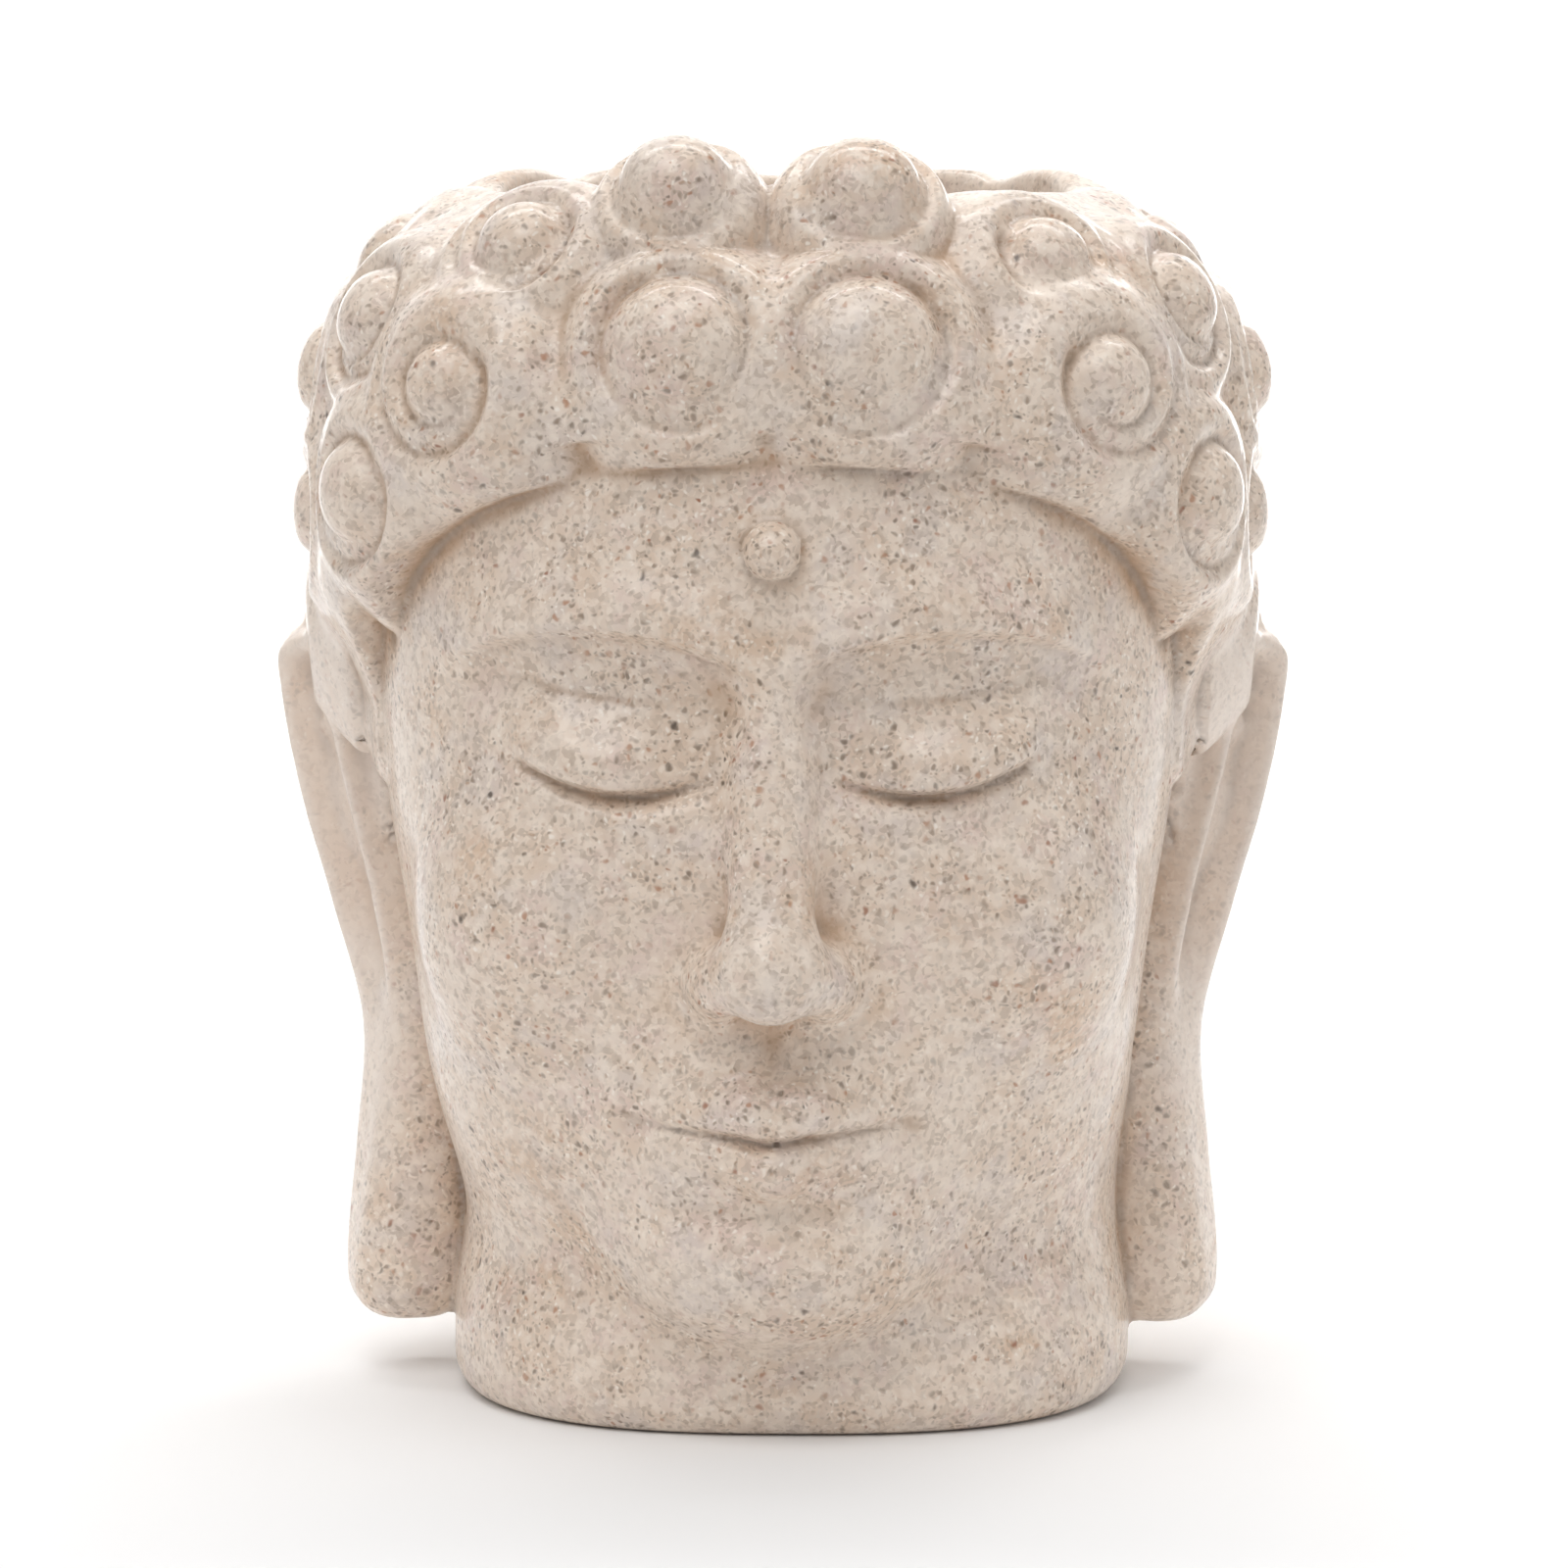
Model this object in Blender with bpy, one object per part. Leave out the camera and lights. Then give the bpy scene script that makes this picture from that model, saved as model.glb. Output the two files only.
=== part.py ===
"""Planter in the form of a carved head with long-lobed ears, snail-shell curls and a round neck as foot.

One casting. A tapered planting well opens at the crown and drains through its floor.
Metres, +Z up, the face looks along -Y, and the origin is under the middle of the object.
"""

import bpy
import openvdb
import numpy as np
from math import cos, pi, radians, sin

# Overall sizes. The carving below is held in hundredths of the head's height and is scaled to these.
HEAD_HEIGHT = 0.1350
HEAD_WIDTH = 0.1096
HEAD_DEPTH = 0.1120
CARVED_HEIGHT = 100.0
CARVED_WIDTH = 81.2
CARVED_DEPTH = 83.0

# The neck, which is the foot that the planter stands on
NECK_WIDTH = 0.0734
NECK_DEPTH = 0.0750
NECK_ASIDE = 0.0012
NECK_ROUNDING = 0.0043

# Planting well and drain
WELL_MOUTH_DIAMETER = 0.064
WELL_FLOOR_DIAMETER = 0.048
WELL_SET_BACK = 0.005
WELL_FILLET = 0.004
FLOOR_THICKNESS = 0.010
DRAIN_HOLE_DIAMETER = 0.010
TURNED_STEPS = 56
FILLET_STEPS = 4
CUTTER_OVERSHOOT = 0.020

# Fineness of the worked-out surface, in carving units, and of the finished solid
GRID_SPACING = 1.0
COARSE_RATIO = 4
SURFACE_BAND = 2.2
CARVED_TRIANGLES = 8800
GRID_MARGIN = 3.0
SLOPE_STEP = 0.05
LEAST_SLOPE = 0.05

# The skull with its hair: centre, half-sizes over and under the centre, fullness in plan and in height
SKULL_CENTRE = (0.0, 2.6, 66.0)
SKULL_SIZE = (36.8, 35.6, 32.0)
SKULL_DROP = 52.0
SKULL_PLAN = 2.3
SKULL_CROWN = 3.2
SKULL_NAPE = 2.6
HAIR_END = 17.0
TEMPLE_THINNING = 3.4
TEMPLE_TOP = 65.0
TEMPLE_FADE = 11.0
TEMPLE_FRONT = (-6.0, 6.0)

# The arch of the hairline that the face looks out of, as a half sweep in degrees and a height
HAIRLINE_HALF_SWEEP = 70.0
HAIRLINE_MIDDLE = 46.0
HAIRLINE_HALF_HEIGHT = 32.2
HAIRLINE_POWER = 2.4
CURLS_OVER_HAIRLINE = 2.6
HAIR_ROLL = 1.5
HAIR_ROLL_PLACE = 2.5
HAIR_ROLL_WIDTH = 4.0
HAIR_ROLL_START = (58.0, 70.0)
TEMPLE_ROUNDING = 8.0

# Curls: azimuth from the front and elevation over the skull's centre in degrees, radius, height,
# the dome's share of the radius, where its spiral starts in degrees, and which way it winds
FRONT_CURLS = (
    (-15.8, 47.0, 7.4, 7.0, 0.62, 100.0, 1),
    (14.2, 47.0, 7.6, 6.8, 0.61, 80.0, -1),
    (-37.5, 39.6, 8.8, 3.8, 0.42, 70.0, -1),
    (40.0, 38.0, 8.8, 3.2, 0.42, 110.0, 1),
    (-61.0, 30.0, 9.2, 3.2, 0.44, 100.0, 1),
    (62.0, 32.0, 9.2, 3.4, 0.44, 80.0, -1),
    (-11.9, 28.8, 9.6, 4.6, 0.56, 80.0, 1),
    (11.9, 28.6, 9.8, 4.6, 0.56, 100.0, -1),
    (-41.0, 22.8, 10.4, 4.1, 0.32, 70.0, -1),
    (42.0, 23.2, 10.4, 4.1, 0.35, 110.0, 1),
    (-56.0, 10.6, 9.2, 3.7, 0.46, 60.0, -1),
    (58.5, 10.2, 9.2, 3.7, 0.46, 120.0, 1),
    (-86.0, 23.5, 9.6, 3.0, 0.44, 100.0, 1),
    (86.0, 23.5, 9.6, 3.5, 0.44, 80.0, -1),
    (-81.0, 7.0, 8.6, 2.3, 0.46, 80.0, -1),
    (81.0, 7.0, 8.6, 2.3, 0.46, 100.0, 1),
    (-84.0, 39.0, 8.8, 2.2, 0.46, 100.0, 1),
    (86.0, 39.0, 8.8, 2.0, 0.46, 80.0, -1),
)
# Rows round the back: elevation, half sweep about the back's middle, height, and the curls in each row
BACK_ROWS = (
    (42.0, 60.0, 2.6),
    (25.0, 67.0, 3.6),
    (7.0, 70.0, 3.0),
    (-11.0, 82.0, 2.8),
    (-29.0, 74.0, 3.2),
)
BACK_ROW_COUNTS = (5, 6, 6, 7, 6)
BACK_CURL_RADIUS = 9.4
BACK_DOME_SHARE = 0.46
DOME_RISE = 0.28
DOME_GROOVE_SHARE = 0.6
MOUND_POWER = 3.2
DOME_DROP = 0.5
SPIRAL_END = 0.76
SPIRAL_FULL = 0.15
SPIRAL_FADE = (0.5, 0.95)
CURL_GROOVE = 1.2
CURL_GROOVE_WIDTH = 0.85
CURL_LIP = 0.6
CURL_BLEND = 1.2
CURL_REACH = 1.35
STEEPEST_CURL = 54.0
SEAT_HALVINGS = 40
SEAT_NUDGE = 0.5

# Neck in carving units: the heights its waist draws in between, by how much, its fullness and its top
NECK_WAIST = (5.0, 15.0)
WAIST_NARROWING = (1.0, 3.0)
NECK_SET_BACK = 1.0
NECK_PLAN = 2.6
NECK_TOP = 26.0
FOOT_ALLOWANCE = 0.5

# Ear: heights, and at each the middle of its plan, its turn to the front, half thickness and breadth
EAR_HEIGHTS = (3.7, 8.0, 18.0, 27.0, 31.7, 38.0, 45.0, 52.0, 58.0)
EAR_ACROSS = (30.2, 30.3, 29.8, 29.6, 30.2, 31.2, 32.6, 34.2, 36.2)
EAR_BACK = (1.0, 1.0, 1.5, 2.0, 2.2, 2.4, 2.6, 2.8, 3.2)
EAR_TURN = (12.0, 14.0, 22.0, 34.0, 42.0, 50.0, 55.0, 53.0, 50.0)
EAR_HALF_THICK = (4.7, 4.7, 4.3, 3.6, 2.9, 2.6, 2.4, 2.2, 2.0)
EAR_HALF_BREADTH = (5.0, 5.8, 5.4, 4.8, 5.0, 5.6, 6.4, 6.5, 5.2)
EAR_MIDDLE = 32.3
EAR_HALF_HEIGHT = 28.0
EAR_ROUNDING = 0.9
EAR_END_EDGE = 3.0
EAR_MARGIN = 10.0
EAR_CORNER = 4.0
# Rims and hollows of the upper ear: distance in from its edge, width and height
EAR_RELIEF = (
    (1.3, 0.9, 0.7),
    (3.8, 1.4, -2.2),
    (6.3, 0.8, 0.9),
    (9.0, 1.7, -2.2),
)
EAR_RELIEF_START = (28.0, 38.0)
# The gap between the face and the front of the ear: how far beside the ear's middle, size and heights
EAR_GAP_PLACE = (2.6, -2.6)
EAR_GAP_SIZE = (6.0, 3.8)
EAR_GAP_MIDDLE = 39.0
EAR_GAP_HALF_HEIGHT = 17.0
EAR_GAP_ROUNDING = 5.5
EAR_GAP_SOFTNESS = 1.6

# The side hair leaves room before the ear, along a slant that falls to the front
EAR_ROOM_TOP = 57.8
EAR_ROOM_FRONT = 3.0
EAR_ROOM_FALL = 1.15
EAR_ROOM_GAP = 1.2

# How softly the forms run into each other, and the rounding of mirrored forms at the middle plane
HEAD_SOFTNESS = 3.0
NAPE_SOFTNESS = 4.0
JAW_SOFTNESS = 5.0
HAIR_END_SOFTNESS = 4.0
HAIR_EDGE_SOFTNESS = 0.6
CURL_EDGE_SOFTNESS = 1.2
EAR_SOFTNESS = 0.9
MIDDLE_ROUNDING = 0.05
# Distance that stands for anywhere out of a form's reach
FAR = 9.0

# Egg shapes under the hair and of the face: centre, half-sizes, fullness in plan and in height
UNDER_CROWN = ((0.0, 2.0, 62.0), (31.8, 33.0, 33.0), 2.35, 2.6)
UNDER_SIDES = ((0.0, 2.0, 62.0), (31.8, 33.0, 31.0), 2.35, 2.6)
UNDER_NAPE = ((0.0, 3.0, 50.0), (29.2, 31.0, 44.0), 2.4, 2.6)
BROAD_FACE = ((0.0, 1.0, 60.0), (31.2, 34.4, 37.0), 2.35, 2.5)
JAW = ((0.0, -6.0, 38.0), (28.6, 26.6, 31.5), 2.15, 2.6)

# Rounded forms of the face: centre, half-sizes, softness of the join. One off the middle has a mirror twin
CHEEK = ((16.0, -19.5, 40.0), (11.5, 12.0, 13.0), 4.0)
MUZZLE = ((0.0, -23.5, 25.5), (13.5, 11.5, 10.0), 5.0)
CHIN = ((0.0, -23.6, 14.2), (11.5, 10.4, 7.6), 7.0)
EYE_SOCKET = ((11.6, -36.3, 54.0), (9.8, 7.8, 5.0), 4.5)
EYEBALL = ((12.2, -24.0, 53.2), (8.6, 6.9, 6.4), 1.5)
NOSE_TIP = ((0.0, -37.4, 37.6), (4.1, 3.9, 3.6), 2.4)
NOSE_WING = ((4.0, -33.2, 36.4), (2.5, 3.8, 2.7), 2.6)
NOSTRIL = ((2.3, -36.4, 33.4), (1.3, 2.4, 1.2), 0.7)
LIP_MIDDLE = ((0.0, -34.2, 26.1), (2.2, 1.9, 1.7), 1.0)
# Rods of the face: start, end, the radius at each, softness of the join
NOSE_BRIDGE = ((0.0, -31.2, 59.0), (0.0, -36.8, 39.0), 2.6, 3.4, 2.6)
UPPER_LIP = ((1.8, -34.1, 26.9), (9.8, -31.3, 25.6), 2.4, 0.8, 0.7)
LOWER_LIP = ((0.0, -33.4, 22.2), (8.2, -31.2, 24.2), 3.0, 1.0, 0.7)
# Brow: foot, rise, middle and half sweep of its arch; height of its edge and where that starts, is full
# and fades out over the arch; depth of the dip under it, how far under, and width; where it ends sideways
BROW_ARCH = (56.0, 7.0, 13.5, 14.0)
BROW_EDGE = (1.5, -0.8, 0.4, 7.0)
BROW_DIP = (1.4, 3.0, 2.2)
BROW_INNER_END = (0.5, 4.5)
BROW_OUTER_END = (21.0, 27.5)
# Lids: middle, half width, roundness of the ends; height, slant and sag of the lashes; the upper lid's edge
# as height, start, full, fade and end over the lashes; lines as place, width and height; the lid's crease
LID_MIDDLE = 12.4
LID_HALF_WIDTH = 7.8
LID_END_POWER = 0.6
LASH_LINE = (52.8, 0.7, 2.1)
LID_EDGE = (1.4, -0.3, 0.5, 1.5, 6.2)
LID_LINES = ((-0.4, 0.5, -0.7), (-1.8, 1.0, 0.5))
LID_CREASE = (7.0, 1.2, 0.6, -0.8)
# Mouth: depth and width of each line and groove, its height, and where it starts, is full and fades out
LIP_GROOVE = (0.55, 1.25, 28.4, 30.6, 31.5, 34.0)
LIP_PARTING = (24.8, 0.5, 2.0, 0.009)
LIP_LINE = (0.7, 0.5, 8.5, 11.0)
LIP_CORNER = (0.8, 10.6, 25.4, 1.4)
CHIN_CREASE = (0.8, 18.9, 1.9, 3.5, 9.5)
FACE_MARK_HEIGHT = 69.2
FACE_MARK_RADIUS = 2.2
FACE_MARK_RELIEF = 2.2
# The face's relief fades out between these depths, from the middle of the head to its front
RELIEF_FADE = (16.0, 22.0)

STONE_COLOUR = (0.73, 0.62, 0.51, 1.0)
STONE_ROUGHNESS = 0.35
NODE = "head_planter"


def length(*parts):
    return np.sqrt(sum(part * part for part in parts))


def ellipsoid(p, centre, radii):
    q = [(a - c) / r for a, c, r in zip(p, centre, radii)]
    inner = length(*q)
    outer = length(*[a / r for a, r in zip(q, radii)])
    return inner * (inner - 1.0) / np.maximum(outer, 1e-6)


def rod(p, start, end, start_radius, end_radius):
    start = np.array(start, float)
    along = np.array(end, float) - start
    share = sum((a - s) * d for a, s, d in zip(p, start, along)) / (along @ along)
    share = np.clip(share, 0.0, 1.0)
    gap = [a - s - share * d for a, s, d in zip(p, start, along)]
    return length(*gap) - (start_radius + share * (end_radius - start_radius))


def join(a, b, soft):
    near = np.maximum(soft - np.abs(a - b), 0.0) / soft
    return np.minimum(a, b) - near * near * soft * 0.25


def keep_both(a, b, soft):
    return -join(-a, -b, soft)


def cut(a, b, soft):
    return -join(-a, b, soft)


def rounded_corner(a, b, radius):
    """The meeting of two faces, a and b outside of each, with its edge rounded."""
    a = a + radius
    b = b + radius
    return np.minimum(np.maximum(a, b), 0.0) + length(np.maximum(a, 0.0), np.maximum(b, 0.0)) - radius


def step(value, low, high):
    t = np.clip((value - low) / (high - low), 0.0, 1.0)
    return t * t * (3.0 - 2.0 * t)


def hump(value, centre, width):
    return np.exp(-(((value - centre) / width) ** 2))


def egg(p, centre, radii, plan_power, rise_power):
    """Superellipsoid, as the distance along the ray from its centre."""
    x, y, z = [a - c for a, c in zip(p, centre)]
    plan = (np.abs(x / radii[0]) ** plan_power + np.abs(y / radii[1]) ** plan_power) ** (1.0 / plan_power)
    full = (plan**rise_power + np.abs(z / radii[2]) ** rise_power) ** (1.0 / rise_power)
    return length(x, y, z) * (1.0 - 1.0 / np.maximum(full, 1e-6))


def mirrored(p):
    """The point with its distance from the middle plane in place of x, rounded at the middle."""
    return np.sqrt(p[0] * p[0] + MIDDLE_ROUNDING), p[1], p[2]


def along_keys(z, heights, values):
    """A row of values at heights, eased from one to the next."""
    heights = np.array(heights)
    values = np.array(values)
    slopes = np.gradient(values, heights)
    i = np.clip(np.searchsorted(heights, z) - 1, 0, len(heights) - 2)
    gap = heights[i + 1] - heights[i]
    t = np.clip((z - heights[i]) / gap, 0.0, 1.0)
    ends = (2 * t**3 - 3 * t**2 + 1) * values[i] + (3 * t**2 - 2 * t**3) * values[i + 1]
    bends = (t**3 - 2 * t**2 + t) * slopes[i] + (t**3 - t**2) * slopes[i + 1]
    return ends + bends * gap


def skull(p):
    crown = egg(p, SKULL_CENTRE, SKULL_SIZE, SKULL_PLAN, SKULL_CROWN)
    nape = egg(p, SKULL_CENTRE, (SKULL_SIZE[0], SKULL_SIZE[1], SKULL_DROP), SKULL_PLAN, SKULL_NAPE)
    return np.where(p[2] > SKULL_CENTRE[2], crown, nape)


def hairline(p):
    """The room of the face, cut out of the hair square to its surface."""
    x, y, z = mirrored(p)
    sweep = np.degrees(np.arctan2(x, SKULL_CENTRE[1] - y)) / HAIRLINE_HALF_SWEEP
    rise = np.abs(z - HAIRLINE_MIDDLE) / HAIRLINE_HALF_HEIGHT
    arch = (sweep**HAIRLINE_POWER + rise**HAIRLINE_POWER) ** (1.0 / HAIRLINE_POWER)
    return (arch - 1.0) * HAIRLINE_HALF_HEIGHT


def ear_place(p):
    """Distance along the ear's breadth, and outwards from its middle layer."""
    x, y, z = mirrored(p)
    turn = np.radians(along_keys(z, EAR_HEIGHTS, EAR_TURN))
    across = x - along_keys(z, EAR_HEIGHTS, EAR_ACROSS)
    back = y - along_keys(z, EAR_HEIGHTS, EAR_BACK)
    along = across * np.sin(turn) + back * np.cos(turn)
    outward = across * np.cos(turn) - back * np.sin(turn)
    return along, outward


def room_over_ear(p):
    """The room before the ear, which the side hair leaves along a slant."""
    forward = np.maximum(EAR_ROOM_FRONT - p[1], 0.0)
    slant = p[2] - EAR_ROOM_TOP + EAR_ROOM_FALL * forward
    along, outward = ear_place(p)
    return keep_both(slant, -(outward + EAR_ROOM_GAP), HEAD_SOFTNESS)


def room_without_hair(p):
    """The face's opening and the room before the ear, meeting in a round corner at the temple."""
    return join(hairline(p), room_over_ear(p), TEMPLE_ROUNDING)


def hair_layer(p):
    x, y, z = p
    thinning = TEMPLE_THINNING * step(TEMPLE_TOP - z, 0.0, TEMPLE_FADE) * step(-y, *TEMPLE_FRONT)
    return keep_both(skull(p) + thinning, HAIR_END - z, HAIR_END_SOFTNESS)


def curl_relief(right, up, radius, height, dome_share, start, turn):
    """Height of a curl over the hair: a flat mound with a dome and a groove that winds out round it."""
    from_middle = length(right, up + DOME_DROP)
    wound = np.mod(turn * (np.arctan2(up + DOME_DROP, right) / (2.0 * pi) - start / 360.0), 1.0)
    dome_reach = radius * dome_share
    dome = DOME_RISE * dome_reach * np.clip(1.0 - (from_middle / dome_reach) ** 2, 0.0, 1.0)
    mound = (height - DOME_RISE * dome_reach) * (1.0 - (length(right, up) / radius) ** MOUND_POWER)
    ring = (radius + dome_reach) / 2.0
    lip = CURL_LIP * hump(from_middle, ring, (radius - dome_reach) / 3.0)
    arm = dome_reach + (SPIRAL_END * radius - dome_reach) * wound
    depth = step(wound, 0.0, SPIRAL_FULL) * (1.0 - step(wound, *SPIRAL_FADE))
    winding = depth * hump(from_middle, arm, CURL_GROOVE_WIDTH)
    around = DOME_GROOVE_SHARE * hump(from_middle, dome_reach, CURL_GROOVE_WIDTH)
    return mound + dome + lip - CURL_GROOVE * np.maximum(winding, around)


def aim(azimuth, elevation):
    a = radians(azimuth)
    e = radians(elevation)
    return np.array((sin(a) * cos(e), -cos(a) * cos(e), sin(e)))


def curl_seat(azimuth, elevation):
    """Where a ray from the skull's centre leaves the skull, with the surface's directions there."""
    ray = aim(azimuth, elevation)
    low = 0.0
    high = 2.0 * SKULL_DROP
    for _ in range(SEAT_HALVINGS):
        middle = (low + high) / 2.0
        inside = skull([np.array([c + middle * d]) for c, d in zip(SKULL_CENTRE, ray)])[0] < 0.0
        low, high = (middle, high) if inside else (low, middle)
    seat = np.array(SKULL_CENTRE) + low * ray
    slope = np.zeros(3)
    for axis in range(3):
        nudge = np.zeros(3)
        nudge[axis] = SEAT_NUDGE
        ahead = skull([np.array([v]) for v in seat + nudge])[0]
        behind = skull([np.array([v]) for v in seat - nudge])[0]
        slope[axis] = ahead - behind
    rise = min(np.arcsin(slope[2] / np.linalg.norm(slope)), radians(STEEPEST_CURL))
    flat = slope[:2] / np.linalg.norm(slope[:2])
    outward = np.array((flat[0] * cos(rise), flat[1] * cos(rise), sin(rise)))
    right = np.cross((0.0, 0.0, 1.0), outward)
    right /= np.linalg.norm(right)
    return seat, right, np.cross(outward, right)


def all_curls():
    curls = list(FRONT_CURLS)
    for (elevation, sweep, height), count in zip(BACK_ROWS, BACK_ROW_COUNTS):
        for i in range(count):
            azimuth = 180.0 - sweep + 2.0 * sweep * i / (count - 1)
            winding = (80.0, 1) if azimuth > 180.0 else (100.0, -1)
            curls.append((azimuth, elevation, BACK_CURL_RADIUS, height, BACK_DOME_SHARE, *winding))
    return [(*curl_seat(azimuth, elevation), *rest) for azimuth, elevation, *rest in curls]


def hair_roll(p):
    """The thicker edge of the hair over the forehead."""
    return HAIR_ROLL * hump(hairline(p), HAIR_ROLL_PLACE, HAIR_ROLL_WIDTH) * step(p[2], *HAIR_ROLL_START)


def hair(p, curls):
    form = hair_layer(p) - hair_roll(p)
    room = room_without_hair(p)
    near = (np.abs(form) < FAR) & (room > -FAR)
    q = [c[near] for c in p]
    skin = skull(q)
    grown = np.full(skin.shape, FAR)
    for seat, right, up, radius, *shape in curls:
        away = [a - b for a, b in zip(q, seat)]
        reach = length(*away) < radius * CURL_REACH
        if not reach.any():
            continue
        away = [a[reach] for a in away]
        to_right = sum(a * b for a, b in zip(away, right))
        upward = sum(a * b for a, b in zip(away, up))
        own = skin[reach] - curl_relief(to_right, upward, radius, *shape)
        grown[reach] = join(grown[reach], own, CURL_BLEND)
    form = cut(form, room, HAIR_EDGE_SOFTNESS)
    curled = cut(grown, room[near] + CURLS_OVER_HAIRLINE, CURL_EDGE_SOFTNESS)
    form[near] = join(form[near], curled, CURL_BLEND)
    return form


def head_under_hair(p):
    over = np.where(p[2] > UNDER_CROWN[0][2], egg(p, *UNDER_CROWN), egg(p, *UNDER_SIDES))
    return join(over, egg(p, *UNDER_NAPE), NAPE_SOFTNESS)


def face(p):
    m = mirrored(p)
    form = join(egg(p, *BROAD_FACE), egg(p, *JAW), JAW_SOFTNESS)
    for centre, radii, soft in (CHEEK, MUZZLE, CHIN):
        form = join(form, ellipsoid(m, centre, radii), soft)
    form = cut(form, ellipsoid(m, *EYE_SOCKET[:2]), EYE_SOCKET[2])
    form = join(form, ellipsoid(m, *EYEBALL[:2]), EYEBALL[2])
    form = join(form, rod(p, *NOSE_BRIDGE[:4]), NOSE_BRIDGE[4])
    for centre, radii, soft in (NOSE_TIP, NOSE_WING):
        form = join(form, ellipsoid(m, centre, radii), soft)
    form = cut(form, ellipsoid(m, *NOSTRIL[:2]), NOSTRIL[2])
    upper_lip = join(rod(m, *UPPER_LIP[:4]), ellipsoid(p, *LIP_MIDDLE[:2]), LIP_MIDDLE[2])
    form = join(form, upper_lip, UPPER_LIP[4])
    return join(form, rod(m, *LOWER_LIP[:4]), LOWER_LIP[4])


def brow_relief(x, z):
    """A brow with a crisp edge below that fades up into the forehead, and the dip under it."""
    foot, rise, middle, half_sweep = BROW_ARCH
    arch = foot + rise * np.sqrt(np.clip(1.0 - ((x - middle) / half_sweep) ** 2, 0.0, 1.0))
    height, under, over, top = BROW_EDGE
    crisp = height * step(z, arch + under, arch + over) * (1.0 - step(z, arch + over, arch + top))
    depth, drop, width = BROW_DIP
    fade = step(x, *BROW_INNER_END) * (1.0 - step(x, *BROW_OUTER_END))
    return (crisp - depth * hump(z, arch - drop, width)) * fade


def lid_relief(x, z):
    """Closed lids: the upper one stands over the lower along the lashes."""
    across = (x - LID_MIDDLE) / LID_HALF_WIDTH
    round_ends = np.clip(1.0 - across**2, 0.0, 1.0) ** LID_END_POWER
    height, slant, sag = LASH_LINE
    above = z - (height + slant * across - sag * np.clip(1.0 - across**2, -1.0, 1.0))
    height, under, over, fade, top = LID_EDGE
    relief = height * step(above, under, over) * (1.0 - step(above, fade, top))
    for place, width, height in LID_LINES:
        relief = relief + height * hump(above, place, width)
    place, bend, width, height = LID_CREASE
    relief = relief + height * hump(above, place - bend * across**2, width)
    return relief * round_ends


def mouth_relief(x, z):
    depth, width, start, full, fade, top = LIP_GROOVE
    relief = -depth * hump(x, 0.0, width) * step(z, start, full) * (1.0 - step(z, fade, top))
    height, dip, dip_width, curve = LIP_PARTING
    parting = height - dip * hump(x, 0.0, dip_width) + curve * x**2
    depth, width, fade, end = LIP_LINE
    relief = relief - depth * hump(z, parting, width) * (1.0 - step(x, fade, end))
    depth, aside, height, width = LIP_CORNER
    relief = relief - depth * hump(length(x - aside, z - height), 0.0, width)
    depth, height, width, fade, end = CHIN_CREASE
    return relief - depth * hump(z, height, width) * (1.0 - step(x, fade, end))


def face_relief(p):
    x, y, z = mirrored(p)
    mark = length(p[0], p[2] - FACE_MARK_HEIGHT) / FACE_MARK_RADIUS
    mark = FACE_MARK_RELIEF * np.sqrt(np.clip(1.0 - mark**2, 0.0, 1.0))
    return (brow_relief(x, z) + lid_relief(x, z) + mouth_relief(x, z) + mark) * step(-y, *RELIEF_FADE)


def neck(p, unit):
    x, y, z = p
    half_width = NECK_WIDTH / 2.0 / unit[0]
    half_depth = NECK_DEPTH / 2.0 / unit[1]
    waist = step(z, *NECK_WAIST)
    across = (x - NECK_ASIDE / unit[0]) / (half_width - WAIST_NARROWING[0] * waist)
    back = (y - NECK_SET_BACK) / (half_depth - WAIST_NARROWING[1] * waist)
    plan = (np.abs(across) ** NECK_PLAN + np.abs(back) ** NECK_PLAN) ** (1.0 / NECK_PLAN)
    form = rounded_corner((plan - 1.0) * half_width, -z - FOOT_ALLOWANCE, NECK_ROUNDING / unit[2])
    return keep_both(form, z - NECK_TOP, HEAD_SOFTNESS)


def ear_gap(p):
    """The gap that parts the face from the front of the ear."""
    x, y, z = mirrored(p)
    across = (x - along_keys(z, EAR_HEIGHTS, EAR_ACROSS) - EAR_GAP_PLACE[0]) / EAR_GAP_SIZE[0]
    plan = (length(across, (y - EAR_GAP_PLACE[1]) / EAR_GAP_SIZE[1]) - 1.0) * EAR_GAP_SIZE[1]
    ends = np.abs(z - EAR_GAP_MIDDLE) - EAR_GAP_HALF_HEIGHT
    return rounded_corner(plan, ends, EAR_GAP_ROUNDING)


def ear_relief(along, outward, z, breadth):
    """Rims that run round the ear's edge, with a hollow inside of each, on the side that faces out."""
    top = EAR_MIDDLE + EAR_HALF_HEIGHT
    from_edge = -rounded_corner(along - breadth, z - top, EAR_CORNER)
    relief = sum(height * hump(from_edge, place, width) for place, width, height in EAR_RELIEF)
    return relief * step(z, *EAR_RELIEF_START) * step(outward, -0.5, 0.5)


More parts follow.
